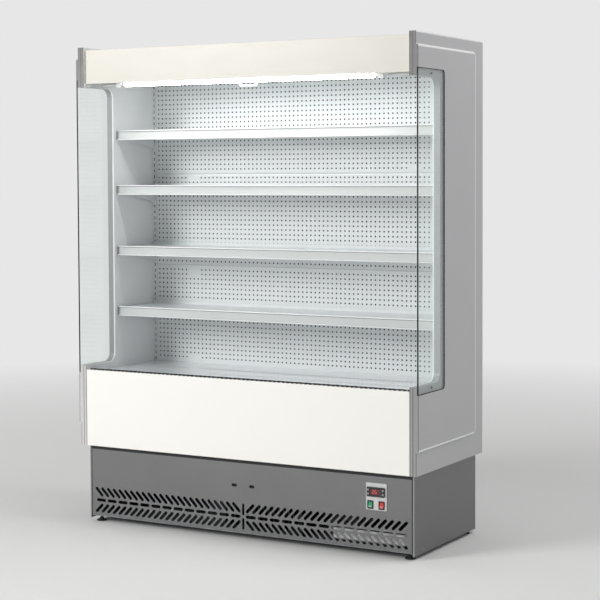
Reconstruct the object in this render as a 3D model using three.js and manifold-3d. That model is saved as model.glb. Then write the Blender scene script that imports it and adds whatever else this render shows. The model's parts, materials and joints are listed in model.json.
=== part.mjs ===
// Open multideck display fridge: an insulated C-shaped cabinet between two window-framed side
// panels, with a canopy, four shelves and a machine base behind a chevron-slotted grille.
// Millimetres, +Z up. The origin is on the floor under the middle of the cabinet, and the open
// front faces -Y. Pieces are drawn with Y = 0 at the cabinet's front plane and Y rearwards.
import * as THREE from "three";
import { mergeVertices } from "three/addons/utils/BufferGeometryUtils.js";
import Module from "manifold-3d";

const wasm = await Module();
wasm.setup();

// ---------------------------------------------------------------- driving dimensions

// overall
const WIDTH = 1500; // over the rims of the two side panels
const DEPTH = 600;
const HEIGHT = 1916;
const GAP = 0.3; // between pieces that touch
const SHEET = 1.5; // folded steel

// machine base
const FLOOR_GAP = 15; // floor to the lower edge of the side covers
const CABINET_BOTTOM = 315;
const BASE_FRONT_SETBACK = 27;
const BASE_SIDE_SETBACK = 21;
const BASE_REAR_SETBACK = 23;
const GRILLE_FLOOR_GAP = 29;
const COVER_FRONT_LIP = 8;
const COVER_REAR_LIP = 20;
const TRAY_BOTTOM = 25;
const TRAY_THICKNESS = 3;
const TRAY_EDGE_HEIGHT = 15;
const TRAY_EDGE_THICKNESS = 2;
const POST_LEG = 22;
const POST_THICKNESS = 2;
const SCREEN_MARGIN = 18; // plain border at each end of the slotted fields
const BOLT_CLEARANCE = 0.8;

// levelling feet
const FOOT_INSET = 32;
const FOOT_RADIUS = 20;
const FOOT_PAD_HEIGHT = 8;
const FOOT_STEM_RADIUS = 5;
const FOOT_STEM_LENGTH = 44;
const FOOT_NUT_RADIUS = 8.5;
const FOOT_NUT_HEIGHT = 6;
const FOOT_BUSH_WALL = 5;
const FOOT_BUSH_HEIGHT = 22;

// chevron slots of the front grille
const SLOT_WIDTH = 10;
const SLOT_RUN = 26; // centreline run along X and Z of a slanted slot
const SLOT_PITCH = 28.4;
const SLOT_ROW_PITCH = 33.5;
const SLOT_LOWEST_ROW = 57;
const DASH_LENGTH = 42;
const DASH_PITCH = 53.4;
const CENTRE_SLOT_WIDTH = 10;
const CENTRE_SLOT_LENGTH = 45;
const CENTRE_STRIP = 13; // half width of the plain strip round the centre slots
const LATCH_HOLE_LENGTH = 18;
const LATCH_HOLE_HEIGHT = 10;
const LATCH_HOLE_SPREAD = 39.5;
const LATCH_HOLE_RISE = 210;

// rear grille of the base
const REAR_SLOT_WIDTH = 10;
const REAR_SLOT_LENGTH = 96;
const REAR_SLOT_PITCH = 92;
const REAR_SLOT_ROWS = 2;
const REAR_SLOT_ROW_GAP = 24;
const REAR_SLOT_MARGIN = 170;

// control plate, controller and switches
const PLATE_END_GAP = 111; // plate to the outer face of the side cover
const PLATE_WIDTH = 85;
const PLATE_TOP = 273;
const PLATE_HEIGHT = 100;
const PLATE_THICKNESS = 2;
const PLATE_OVERLAP = 4;
const BEZEL_WIDTH = 73;
const BEZEL_HEIGHT = 35;
const BEZEL_RISE = 5;
const BEZEL_DROP = 15; // plate top to bezel top
const CASE_INSET = 2.5;
const CASE_DEPTH = 58;
const KEY_SIZE = 7.4;
const KEY_THICKNESS = 2.2;
const KEY_PROUD = 0.9;
const KEY_PLAY = 0.4;
const KEY_TRAVEL = 0.8;
const KEY_SPREAD = 30.5;
const KEY_RISE = 7.5;
const SWITCH_WIDTH = 24;
const SWITCH_HEIGHT = 31;
const SWITCH_RISE = 2.5;
const SWITCH_DEPTH = 24;
const SWITCH_WALL = 2;
const SWITCH_LIP = 1.5;
const SWITCH_SPREAD = 23.25; // either side of the bezel's middle
const SWITCH_DROP = 80.5; // plate top to switch middle
const ROCKER_PLAY = 0.6;
const ROCKER_TILT = 9; // degrees either side of level
const ROCKER_PIVOT_DEPTH = 5;
const PIN_RADIUS = 1.3;
const PIN_LENGTH = 1.2;

// side panels
const SIDE_THICKNESS = 27;
const FIELD_RISE = 9; // raised field over the rim
const FIELD_BEVEL = 4;
const FIELD_BOTTOM_BAND = 88;
const FIELD_TOP_BAND = 47;
const FIELD_REAR_BAND = 88;
const SIDE_CORNER_RADIUS = 12;
const WINDOW_REAR = 197;
const WINDOW_BOTTOM = 639;
const WINDOW_TOP_BAND = 159;
const WINDOW_RADIUS = 35;
const GLASS_THICKNESS = 6;
const GLASS_OVERLAP = 29;
const GLASS_SEAT_PLAY = 1;

// insulated carcass
const ROOF_DROP = 11; // side panel top to roof
const ROOF_THICKNESS = 40;
const REAR_WALL = 40;
const TUB_FLOOR = 40;
const TUB_FRONT_WALL = 32;
const DRAIN_RADIUS = 11;
const DRAIN_WALL = 3;
const DRAIN_SPOUT = 30;

// lower front panel, return grille and deck
const FRONT_PANEL_TOP = 622;
const FRONT_SHEET = 2;
const FRONT_TOP_FLANGE = 30;
const FRONT_BOTTOM_FLANGE = 20;
const RETURN_GRILLE_DROP = 2; // front panel top to grille top
const RETURN_GRILLE_REAR = 78;
const RETURN_SLOT_RUN = 22;
const RETURN_SLOT_WIDTH = 14;
const RETURN_SLOT_PITCH = 40;
const RETURN_LEG_LAP = 8; // down past the deck's front edge
const DECK_TOP = 612;
const DECK_FRONT = 72;
const DECK_FLANGE = 22;

// back panels and uprights
const REAR_DUCT = 80; // rear wall to the face of the back panels
const BACK_SHEET = 1.2;
const TOP_DUCT = 65; // roof to the top of the back panels
const BACK_JOINTS = [0.3485, 0.6709]; // shares of the height from the deck up
const BACK_RETURN = 15;
const BACK_LEDGE = 14;
const UPRIGHT_WIDTH = 17.7;
const UPRIGHT_DEPTH = 20;
const UPRIGHT_WALL = 2;
const UPRIGHT_PROUD = 2;
const NOTCH_PITCH = 25;
const NOTCH_WIDTH = 4;
const NOTCH_HEIGHT = 13;

// shelves
const SHELVES = 4;
const TOP_BAY = 200; // least height over the top shelf
const SHELF_FRONT = 222;
const SHELF_REAR_GAP = 4;
const SHELF_END_GAP = 5;
const SHELF_FLANGE = 33;
const SHELF_HEM = 12;
const SHELF_UPSTAND = 12;
const SHELF_DROP = 4; // rail top to shelf plate
const BRACKET_THICKNESS = 3;
const BRACKET_REAR_DEPTH = 70;
const BRACKET_FRONT_DEPTH = 24;
const HOOK_LENGTH = 6;
const HOOK_HEIGHT = 11;
const RAIL_HEIGHT = 39;
const RAIL_DEPTH = 7;
const RAIL_WALL = 2;
const RAIL_LIP = 5;

// canopy
const FASCIA_SETBACK = 10;
const FASCIA_SHEET = 2;
const FASCIA_HEIGHT = 134;
const FASCIA_TOP_FLANGE = 24;
const FASCIA_BOTTOM_FLANGE = 18;
const LAMP_END_GAP = 148.5; // tube end to the side panel
const LAMP_RADIUS = 8;
const LAMP_Y = 56;
const LAMP_DROP = 100; // roof to the tube's axis
const LAMP_CARRIER_WIDTH = 30;
const LAMP_HOLDER_LENGTH = 22;
const BLIND_Y = 85;
const BLIND_THICKNESS = 1;
const BLIND_END_GAP = 33; // cloth to the side panel
const BLIND_ROLL_RADIUS = 22;
const BLIND_AXIS_DROP = 30; // roof to the roller's axis
const BLIND_PIN_RADIUS = 5;
const BLIND_BRACKET_THICKNESS = 3;
const BLIND_BRACKET_GAP = 12; // roll end to the bracket plate
const BLIND_BRACKET_WIDTH = 28;
const BLIND_BRACKET_BELOW = 14; // below the roller's axis
const BLIND_PIN_END = 6; // pin past the plate's inner face
const PULL_BAR_DROP = 55; // roller's axis to the bar's top
const PULL_BAR_HEIGHT = 18;
const PULL_BAR_DEPTH = 12;
const GRIP_WIDTH = 78;
const GRIP_DROP = 17;
const GRIP_BAND = 5;
const OUTLET_FRONT = 135;
const OUTLET_REAR = 205;
const OUTLET_HEIGHT = 30;
const OUTLET_WALL = 3;
const OUTLET_COLUMNS = 18;
const OUTLET_ROWS = 1;

// machinery
const COIL_WIDTH = 360;
const COIL_HEIGHT = 226;
const COIL_DEPTH = 44;
const COIL_FRONT = 64;
const COIL_CENTRE_X = 60;
const COIL_FIN_PITCH = 22;
const COIL_FIN_GAP = 15;
const COIL_STUB = 8;
const COIL_INLET = 0.8; // share of the coil's height
const CONDENSER_FAN_RADIUS = 92;
const FAN_HUB_RADIUS = 24;
const FAN_HUB_LENGTH = 22;
const FAN_BLADE_THICKNESS = 2;
const FAN_BLADE_PITCH = 32; // degrees
const FAN_BLADES = 4;
const FAN_CLEARANCE = 5;
const SHROUD_DEPTH = 46;
const FAN_SETBACK = 23; // shroud's rear face to the fan's middle
const MOTOR_RADIUS = 30;
const MOTOR_NOSE_RADIUS = 11;
const MOTOR_LENGTH = 44;
const COMPRESSOR_X = 60;
const COMPRESSOR_Y = 400;
const COMPRESSOR_RADIUS = 74;
const COMPRESSOR_HEIGHT = 190;
const COMPRESSOR_PAD = 10;
const PAN_END_GAP = 53; // pan to the outer face of the side cover
const PAN_WIDTH = 300;
const PAN_FRONT = 62;
const PAN_DEPTH = 380;
const PAN_HEIGHT = 56;
const PAN_WALL = 2;
const PIPE_RADIUS = 5;
const SUCTION_RADIUS = 11;
const SUCTION_INSET = 10; // back panels to the pipe's axis
const SUCTION_RUN = 120; // compressor's side to the rising pipe
const SUCTION_BEND = 14;
const SUCTION_DROP = 60; // compressor's top to the stub
const DISCHARGE_RISE = 22; // first bend above the compressor
const DISCHARGE_CREST = 44;
const DISCHARGE_SWING = 84; // bow beyond the condenser's end
const EVAPORATOR_END_GAP = 173; // coil to the side panel
const EVAPORATOR_SETBACK = 64; // back panels to the coil
const EVAPORATOR_DEPTH = 180;
const EVAPORATOR_RISE = 50;
const EVAPORATOR_HEIGHT = 130;
const EVAPORATOR_FIN_PITCH = 50;
const EVAPORATOR_FIN_GAP = 40;
const END_PLATE_THICKNESS = 4;
const FAN_PLATE_LEAD = 68; // fan plate to the coil behind it
const FAN_PLATE_END_GAP = 23;
const EVAPORATOR_FAN_RADIUS = 88;
const EVAPORATOR_FAN_SPREAD = 320;
const EVAPORATOR_FAN_SETBACK = 17;
const GLAND_END_GAP = 129; // gland to the outer face of the side cover
const GLAND_Z = 78;
const GLAND_RADIUS = 10;

// ---------------------------------------------------------------- sizes that follow

const halfWidth = WIDTH / 2;
const innerHalf = halfWidth - SIDE_THICKNESS; // inner face of a side panel
const fitHalf = innerHalf - GAP; // what spans between the side panels
const baseHalf = halfWidth - BASE_SIDE_SETBACK;
const baseFront = BASE_FRONT_SETBACK;
const baseRear = DEPTH - BASE_REAR_SETBACK;
const baseTop = CABINET_BOTTOM - GAP;
const trayTop = TRAY_BOTTOM + TRAY_THICKNESS;
const roofTop = HEIGHT - ROOF_DROP;
const roofUnderside = roofTop - ROOF_THICKNESS;
const rearWallFace = DEPTH - REAR_WALL;
const tubFloorTop = CABINET_BOTTOM + TUB_FLOOR;
const grilleFace = baseFront;
const screenHalf = baseHalf - COVER_FRONT_LIP - GAP;
const deckUnderside = DECK_TOP - SHEET;
const plateFront = grilleFace - GAP - PLATE_THICKNESS;
const plateLeft = baseHalf - PLATE_END_GAP - PLATE_WIDTH;
const bezelX = plateLeft + PLATE_WIDTH / 2 - 1;
const bezelZ = PLATE_TOP - BEZEL_DROP - BEZEL_HEIGHT / 2;
const bezelFront = plateFront - GAP - BEZEL_RISE;
const switchZ = PLATE_TOP - SWITCH_DROP;
const switchFront = plateFront - GAP - SWITCH_RISE;
const windowTop = HEIGHT - WINDOW_TOP_BAND;
const fasciaBottom = roofTop - FASCIA_HEIGHT;
const lampZ = roofUnderside - LAMP_DROP;
const lampHalf = innerHalf - LAMP_END_GAP;
const blindHalf = innerHalf - BLIND_END_GAP;
const blindAxisZ = roofUnderside - BLIND_AXIS_DROP;
const pullBarTop = blindAxisZ - PULL_BAR_DROP;
const backFace = rearWallFace - REAR_DUCT;
const backTop = roofUnderside - TOP_DUCT;
const uprightFront = backFace - UPRIGHT_PROUD;
const suctionY = backFace - SUCTION_INSET;
const evaporatorFront = backFace - EVAPORATOR_SETBACK - EVAPORATOR_DEPTH;
const fanPlateY = evaporatorFront - FAN_PLATE_LEAD;
const panLeft = baseHalf - PAN_END_GAP - PAN_WIDTH;
const glandX = GLAND_END_GAP - baseHalf;
// notches above the deck, from the top shelf down
const highestNotch = Math.floor((backTop - DECK_TOP - TOP_BAY) / NOTCH_PITCH);
const shelfNotches = Array.from({ length: SHELVES }, (_, i) =>
  Math.ceil((highestNotch * (SHELVES - i)) / SHELVES),
);
const shelfTops = shelfNotches.map((notch) => DECK_TOP + 2 + notch * NOTCH_PITCH);
const notchZ = (notch) => DECK_TOP + 2 + notch * NOTCH_PITCH - SHELF_DROP - NOTCH_PITCH / 2;

// ---------------------------------------------------------------- shaping helpers

// A closed geometry as a solid that can be joined and cut.
function solid(geometry) {
  const bare = geometry.index ? geometry.toNonIndexed() : geometry.clone();
  bare.deleteAttribute("normal");
  bare.deleteAttribute("uv");
  const merged = mergeVertices(bare, 1e-3);
  return new wasm.Manifold(
    new wasm.Mesh({
      numProp: 3,
      vertProperties: new Float32Array(merged.attributes.position.array),
      triVerts: new Uint32Array(merged.index.array),
    }),
  );
}

function geometryOf(shape) {
  const mesh = shape.getMesh();
  const geometry = new THREE.BufferGeometry();
  geometry.setAttribute("position", new THREE.BufferAttribute(mesh.vertProperties, 3));
  geometry.setIndex(new THREE.BufferAttribute(mesh.triVerts, 1));
  geometry.computeVertexNormals();
  return geometry;
}

const join = (first, ...others) => others.reduce((sum, other) => sum.add(other), first);
const cut = (first, ...others) => others.reduce((rest, other) => rest.subtract(other), first);

// A block between two corners.
function block(x0, x1, y0, y1, z0, z1) {
  const geometry = new THREE.BoxGeometry(x1 - x0, y1 - y0, z1 - z0);
  geometry.translate((x0 + x1) / 2, (y0 + y1) / 2, (z0 + z1) / 2);
  return solid(geometry);
}

function outline(points) {
  return points instanceof THREE.Shape
    ? points
    : new THREE.Shape(points.map(([a, b]) => new THREE.Vector2(a, b)));
}

const PLANES = {
  x: new THREE.Matrix4().set(0, 0, 1, 0, 1, 0, 0, 0, 0, 1, 0, 0, 0, 0, 0, 1),
  y: new THREE.Matrix4().set(1, 0, 0, 0, 0, 0, -1, 0, 0, 1, 0, 0, 0, 0, 0, 1),
  z: new THREE.Matrix4(),
};

// A flat outline drawn out along an axis, from `from` to `to`. Outlines along X are drawn in
// (Y, Z), along Y in (X, Z) and along Z in (X, Y).
function drawn(axis, points, from, to, extra = {}) {
  const geometry = new THREE.ExtrudeGeometry(outline(points), {
    depth: to - from,
    bevelEnabled: false,
    curveSegments: 3,
    ...extra,
  });
  geometry.applyMatrix4(PLANES[axis]);
  const shift = { x: [from, 0, 0], y: [0, to, 0], z: [0, 0, from] }[axis];
  geometry.translate(...shift);
  return solid(geometry);
}

// A rod along an axis, centred on the two other coordinates in their order.
function rod(axis, a, b, radius, from, to, sides = 20) {
  const geometry = new THREE.CylinderGeometry(radius, radius, to - from, sides);
  const middle = (from + to) / 2;
  if (axis === "x") geometry.rotateZ(Math.PI / 2).translate(middle, a, b);
  if (axis === "y") geometry.translate(a, middle, b);
  if (axis === "z") geometry.rotateX(Math.PI / 2).translate(a, b, middle);
  return solid(geometry);
}

// A turned piece about +Z. The profile is a list of [radius, z] going up the outside.
function turned(profile, sides) {
  const points = profile.map(([radius, z]) => new THREE.Vector2(radius, z));
  return solid(new THREE.LatheGeometry(points, sides).rotateX(Math.PI / 2));
}

// A box outline with round corners.
function roundedBox(x0, x1, y0, y1, radius) {
  const path = new THREE.Shape();
  path.moveTo(x0 + radius, y0);
  path.lineTo(x1 - radius, y0);
  path.absarc(x1 - radius, y0 + radius, radius, -Math.PI / 2, 0);
  path.lineTo(x1, y1 - radius);
  path.absarc(x1 - radius, y1 - radius, radius, 0, Math.PI / 2);
  path.lineTo(x0 + radius, y1);
  path.absarc(x0 + radius, y1 - radius, radius, Math.PI / 2, Math.PI);
  path.lineTo(x0, y0 + radius);
  path.absarc(x0 + radius, y0 + radius, radius, Math.PI, Math.PI * 1.5);
  return path;
}

const box2d = (x0, x1, y0, y1) => [
  [x0, y0],
  [x1, y0],
  [x1, y1],
  [x0, y1],
];

// Points on an arc, both ends included.
function arc(x, y, radius, start, sweep, steps) {
  return Array.from({ length: steps + 1 }, (_, i) => {
    const angle = start + (sweep * i) / steps;
    return [x + Math.cos(angle) * radius, y + Math.sin(angle) * radius];
  });
}

const circle = (x, y, radius, sides) =>
  arc(x, y, radius, 0, (2 * Math.PI * (sides - 1)) / sides, sides - 1);

// A slot with round ends between two centre points.
function slot(x0, y0, x1, y1, width, steps = 2) {
  const along = Math.atan2(y1 - y0, x1 - x0);
  return [
    ...arc(x1, y1, width / 2, along - Math.PI / 2, Math.PI, steps),
    ...arc(x0, y0, width / 2, along + Math.PI / 2, Math.PI, steps),
  ];
}

// A sheet drawn out along an axis, with openings cut right through it.
function pierced(axis, sheet, openings, from, to) {
  const cutters = openings.map((opening) => drawn(axis, opening, from - 1, to + 1));
  return cut(drawn(axis, sheet, from, to), join(...cutters));
}

// A pipe along a smooth route.
function pipe(points, radius, steps, sides = 8) {
  const route = new THREE.CatmullRomCurve3(
    points.map((p) => new THREE.Vector3(...p)),
    false,
    "centripetal",
  );
  const ring = Array.from({ length: sides }, (_, i) => {
    const angle = (2 * Math.PI * i) / sides;
    return new THREE.Vector2(Math.cos(angle) * radius, Math.sin(angle) * radius);
  });
  return solid(new THREE.ExtrudeGeometry(new THREE.Shape(ring), { steps, extrudePath: route }));
}

const mirrored = (shape) => shape.mirror([1, 0, 0]);

// ---------------------------------------------------------------- finishes

function finish(color, roughness, metalness, more = {}) {
  return new THREE.MeshStandardMaterial({ color, roughness, metalness, ...more });
}

const finishes = {
  whiteEnamel: finish(0xf4f4f0, 0.35, 0),
  creamEnamel: finish(0xeeece0, 0.38, 0),
  greyMoulding: finish(0x9b9b9b, 0.5, 0),
  greyBase: finish(0x6f6f70, 0.42, 0.55),
  galvanised: finish(0xb4b8ba, 0.4, 0.8),
  glass: finish(0xcfe6dc, 0.05, 0, { transparent: true, opacity: 0.25 }),
  paleRail: finish(0xdfe2e1, 0.4, 0),
  blackPlastic: finish(0x141414, 0.45, 0),
  palePlate: finish(0xb9bab9, 0.45, 0),
  greenRocker: finish(0x1f9c6b, 0.3, 0),
  redRocker: finish(0xe0382c, 0.3, 0),
  greyKey: finish(0x8c8f90, 0.5, 0),
  blackEnamel: finish(0x1a1b1c, 0.35, 0.2),
  aluminium: finish(0xc8cbcd, 0.35, 0.9),
  copper: finish(0xb66a3c, 0.3, 0.95),
  lamp: finish(0xffffff, 0.4, 0, { emissive: 0xffffff, emissiveIntensity: 1 }),
  blindCloth: finish(0xf0f1ef, 0.7, 0),
  insulation: finish(0x202122, 0.85, 0),
};

const fridge = new THREE.Group();
fridge.name = "open_multideck_display_fridge";
const pieces = new THREE.Group();
pieces.position.y = -DEPTH / 2;
fridge.add(pieces);

function add(name, shape, material) {
  const mesh = new THREE.Mesh(geometryOf(shape), material);
  mesh.name = name;
  pieces.add(mesh);
}

// ---------------------------------------------------------------- machine base

function footPlaces() {
  const x = baseHalf - FOOT_INSET;
  return [
    [-x, baseFront + FOOT_INSET],
    [x, baseFront + FOOT_INSET],
    [-x, baseRear - FOOT_INSET],
    [x, baseRear - FOOT_INSET],
  ];
}

// Tray with turned-up edges, threaded bushes for the feet and four angle posts.
function baseFrame() {
  const half = baseHalf - SHEET - GAP;
  const front = baseFront + SHEET + GAP;
  const rear = baseRear - SHEET - GAP;
  const edgeTop = TRAY_BOTTOM + TRAY_EDGE_HEIGHT;
  const bushRadius = FOOT_STEM_RADIUS + BOLT_CLEARANCE + FOOT_BUSH_WALL;
  const tray = cut(
    block(-half, half, front, rear, TRAY_BOTTOM, edgeTop),
    block(
      -half + TRAY_EDGE_THICKNESS,
      half - TRAY_EDGE_THICKNESS,
      front + TRAY_EDGE_THICKNESS,
      rear - TRAY_EDGE_THICKNESS,
      trayTop,
      edgeTop + 1,
    ),
  );
  let frame = tray;
  for (const sideX of [-1, 1]) {
    for (const [edge, inward] of [
      [front, 1],
      [rear, -1],
    ]) {
      const corner = sideX * half;
      const points = [
        [corner, edge],
        [corner - sideX * POST_LEG, edge],
        [corner - sideX * POST_LEG, edge + inward * POST_THICKNESS],
        [corner - sideX * POST_THICKNESS, edge + inward * POST_THICKNESS],
        [corner - sideX * POST_THICKNESS, edge + inward * POST_LEG],
        [corner, edge + inward * POST_LEG],
      ];
      const ordered = sideX * inward > 0 ? points.reverse() : points;
      frame = join(frame, drawn("z", ordered, trayTop - 1, baseTop));
    }
  }
  for (const [x, y] of footPlaces()) {
    frame = join(frame, rod("z", x, y, bushRadius, trayTop - 1, trayTop + FOOT_BUSH_HEIGHT, 8));
    frame = cut(
      frame,
      rod("z", x, y, FOOT_STEM_RADIUS + BOLT_CLEARANCE, TRAY_BOTTOM - 1, edgeTop + FOOT_BUSH_HEIGHT, 12),
    );
  }
  add("base_frame", frame, finishes.galvanised);
}

function feet() {
  const names = ["foot_front_left", "foot_front_right", "foot_rear_left", "foot_rear_right"];
  footPlaces().forEach(([x, y], i) => {
    const profile = [
      [0, 0],
      [FOOT_RADIUS - 2, 0],
      [FOOT_RADIUS, 2],
      [FOOT_RADIUS, FOOT_PAD_HEIGHT - 3],
      [FOOT_NUT_RADIUS + 1, FOOT_PAD_HEIGHT],
      [FOOT_NUT_RADIUS, FOOT_PAD_HEIGHT + FOOT_NUT_HEIGHT],
      [FOOT_STEM_RADIUS, FOOT_PAD_HEIGHT + FOOT_NUT_HEIGHT],
      [FOOT_STEM_RADIUS, FOOT_STEM_LENGTH],
      [0, FOOT_STEM_LENGTH],
    ];
    add(names[i], turned(profile, 12).translate([x, y, 0]), finishes.blackPlastic);
  });
}

// A slanted slot: rising to the right for +1, falling for -1.
function slantedSlot(x, z, lean, run, width) {
  const half = run / 2;
  return slot(x - half, z - lean * half, x + half, z + lean * half, width);
}

// Front grille: a chevron field mirrored about the centre, with dashes between its two slanted rows.
function frontGrille() {
  const rows = [0, 1, 2].map((row) => SLOT_LOWEST_ROW + row * SLOT_ROW_PITCH);
  const fieldHalf = screenHalf - SCREEN_MARGIN;
  const field = fieldHalf - CENTRE_STRIP;
  const slanted = Math.floor((field - SLOT_RUN - SLOT_WIDTH) / SLOT_PITCH) + 1;
  const dashes = Math.floor((field - DASH_LENGTH) / DASH_PITCH) + 1;
  const holes = [];
  for (const side of [-1, 1]) {
    const start = CENTRE_STRIP + (SLOT_RUN + SLOT_WIDTH) / 2;
    for (let i = 0; i < slanted; i++) {
      const x = side * (start + i * SLOT_PITCH);
      holes.push(slantedSlot(x, rows[2], side, SLOT_RUN, SLOT_WIDTH));
      holes.push(slantedSlot(x, rows[0], -side, SLOT_RUN, SLOT_WIDTH));
    }
    for (let i = 0; i < dashes; i++) {
      const x = side * (CENTRE_STRIP + DASH_LENGTH / 2 + i * DASH_PITCH);
      const half = (DASH_LENGTH - SLOT_WIDTH) / 2;
      holes.push(slot(x - half, rows[1], x + half, rows[1], SLOT_WIDTH));
    }
    const latch = (LATCH_HOLE_LENGTH - LATCH_HOLE_HEIGHT) / 2;
    const latchX = side * LATCH_HOLE_SPREAD;
    holes.push(
      slot(latchX - latch, LATCH_HOLE_RISE, latchX + latch, LATCH_HOLE_RISE, LATCH_HOLE_HEIGHT),
    );
  }
  const centreRun = (CENTRE_SLOT_LENGTH - CENTRE_SLOT_WIDTH) / 2;
  for (const row of [0, 1]) {
    const z = (rows[row] + rows[row + 1]) / 2 + (row === 0 ? -1 : 1) * (SLOT_ROW_PITCH / 3);
    holes.push(slot(0, z - centreRun, 0, z + centreRun, CENTRE_SLOT_WIDTH));
  }
  holes.push(
    box2d(
      plateLeft + PLATE_OVERLAP,
      plateLeft + PLATE_WIDTH - PLATE_OVERLAP,
      PLATE_TOP - PLATE_HEIGHT + PLATE_OVERLAP,
      PLATE_TOP - PLATE_OVERLAP,
    ),
  );
  const sheet = box2d(-screenHalf, screenHalf, GRILLE_FLOOR_GAP, baseTop);
  const flangeHalf = baseHalf - SHEET - POST_LEG - 3;
  const face = pierced("y", sheet, holes, grilleFace, grilleFace + SHEET);
  const topFlange = block(
    -flangeHalf,
    flangeHalf,
    grilleFace + SHEET / 2,
    grilleFace + 14,
    baseTop - SHEET,
    baseTop,
  );
  add("base_front_grille", join(face, topFlange), finishes.greyBase);
}

// Side cover: a folded sheet whose lips wrap the front and rear edges of the base.
function baseSideCovers() {
  const inner = baseHalf - SHEET;
  const points = [
    [baseHalf, baseFront],
    [baseHalf, baseRear],
    [baseHalf - COVER_REAR_LIP, baseRear],
    [baseHalf - COVER_REAR_LIP, baseRear - SHEET],
    [inner, baseRear - SHEET],
    [inner, baseFront + SHEET],
    [baseHalf - COVER_FRONT_LIP, baseFront + SHEET],
    [baseHalf - COVER_FRONT_LIP, baseFront],
  ];
  const right = drawn("z", points, FLOOR_GAP, baseTop);
  add("base_side_right", right, finishes.greyBase);
  add("base_side_left", mirrored(right), finishes.greyBase);
}

// Rear grille with upright slots and the cable's round hole.
function rearGrille() {
  const half = baseHalf - COVER_REAR_LIP - GAP;
  const count = Math.floor((2 * half - 2 * REAR_SLOT_MARGIN) / REAR_SLOT_PITCH);
  const rowsHeight = REAR_SLOT_ROWS * REAR_SLOT_LENGTH + (REAR_SLOT_ROWS - 1) * REAR_SLOT_ROW_GAP;
  const low = (GRILLE_FLOOR_GAP + baseTop - rowsHeight) / 2;
  const holes = [circle(glandX, GLAND_Z, GLAND_RADIUS + GAP, 12)];
  for (let row = 0; row < REAR_SLOT_ROWS; row++) {
    const z = low + row * (REAR_SLOT_LENGTH + REAR_SLOT_ROW_GAP);
    for (let i = 0; i < count; i++) {
      const x = (i - (count - 1) / 2) * REAR_SLOT_PITCH;
      holes.push(box2d(x - REAR_SLOT_WIDTH / 2, x + REAR_SLOT_WIDTH / 2, z, z + REAR_SLOT_LENGTH));
    }
  }
  const sheet = box2d(-half, half, GRILLE_FLOOR_GAP, baseTop);
  add("base_rear_grille", pierced("y", sheet, holes, baseRear - SHEET, baseRear), finishes.greyBase);
}

function cableGland() {
  const flange = GLAND_RADIUS + 4;
  const profile = [
    [4, -10],
    [GLAND_RADIUS, -10],
    [GLAND_RADIUS, SHEET + GAP],
    [flange, SHEET + GAP],
    [flange, SHEET + GAP + 5],
    [GLAND_RADIUS - 2, SHEET + GAP + 14],
    [4, SHEET + GAP + 14],
    [4, -10],
  ];
  const gland = turned(profile, 12).rotate([-90, 0, 0]).translate([glandX, baseRear - SHEET, GLAND_Z]);
  add("cable_gland", gland, finishes.blackPlastic);
}

// ---------------------------------------------------------------- controls

function controlPlate() {
  const right = plateLeft + PLATE_WIDTH;
  const shape = roundedBox(plateLeft, right, PLATE_TOP - PLATE_HEIGHT, PLATE_TOP, 2);
  const play = CASE_INSET - GAP;
  const openings = [
    box2d(
      bezelX - BEZEL_WIDTH / 2 + play,
      bezelX + BEZEL_WIDTH / 2 - play,
      bezelZ - BEZEL_HEIGHT / 2 + play,
      bezelZ + BEZEL_HEIGHT / 2 - play,
    ),
  ];
  for (const side of [-1, 1]) {
    const x = bezelX + side * SWITCH_SPREAD;
    const halfX = SWITCH_WIDTH / 2 - SWITCH_LIP + GAP;
    const halfZ = SWITCH_HEIGHT / 2 - SWITCH_LIP + GAP;
    openings.push(box2d(x - halfX, x + halfX, switchZ - halfZ, switchZ + halfZ));
  }
  const plate = pierced("y", shape, openings, plateFront, plateFront + PLATE_THICKNESS);
  add("control_plate", plate, finishes.palePlate);
}

// Temperature controller: a bezel with a sunk display window and a pocket for each key.
function controller() {
  const halfX = BEZEL_WIDTH / 2;
  const halfZ = BEZEL_HEIGHT / 2;
  const face = roundedBox(bezelX - halfX, bezelX + halfX, bezelZ - halfZ, bezelZ + halfZ, 2.5);
  let shape = drawn("y", face, bezelFront, plateFront - GAP);
  const bodyX = halfX - CASE_INSET;
  const bodyZ = halfZ - CASE_INSET;
  const bodyRear = plateFront + CASE_DEPTH;
  shape = join(
    shape,
    block(bezelX - bodyX, bezelX + bodyX, plateFront - 1, bodyRear, bezelZ - bodyZ, bezelZ + bodyZ),
  );
  const displayX = KEY_SPREAD - KEY_SIZE / 2 - 3;
  const display = roundedBox(
    bezelX - displayX,
    bezelX + displayX,
    bezelZ - halfZ + 6,
    bezelZ + halfZ - 6,
    1.5,
  );
  shape = cut(shape, drawn("y", display, bezelFront - 1, bezelFront + 1.2));
  const pocket = KEY_SIZE / 2 + KEY_PLAY;
  const pocketDepth = KEY_THICKNESS - KEY_PROUD + KEY_TRAVEL + GAP;
  for (const [x, z] of keyPlaces()) {
    shape = cut(
      shape,
      block(x - pocket, x + pocket, bezelFront - 1, bezelFront + pocketDepth, z - pocket, z + pocket),
    );
  }
  add("controller", shape, finishes.blackPlastic);
}

function keyPlaces() {
  return [-1, 1].flatMap((side) =>
    [1, -1].map((level) => [bezelX + side * KEY_SPREAD, bezelZ + level * KEY_RISE]),
  );
}

function controllerKeys() {
  const names = ["key_set", "key_standby", "key_up", "key_down"];
  const half = KEY_SIZE / 2;
  keyPlaces().forEach(([x, z], i) => {
    const cap = roundedBox(x - half, x + half, z - half, z + half, 1);
    const front = bezelFront - KEY_PROUD;
    add(names[i], drawn("y", cap, front, front + KEY_THICKNESS, { curveSegments: 2 }), finishes.greyKey);
  });
}

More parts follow.
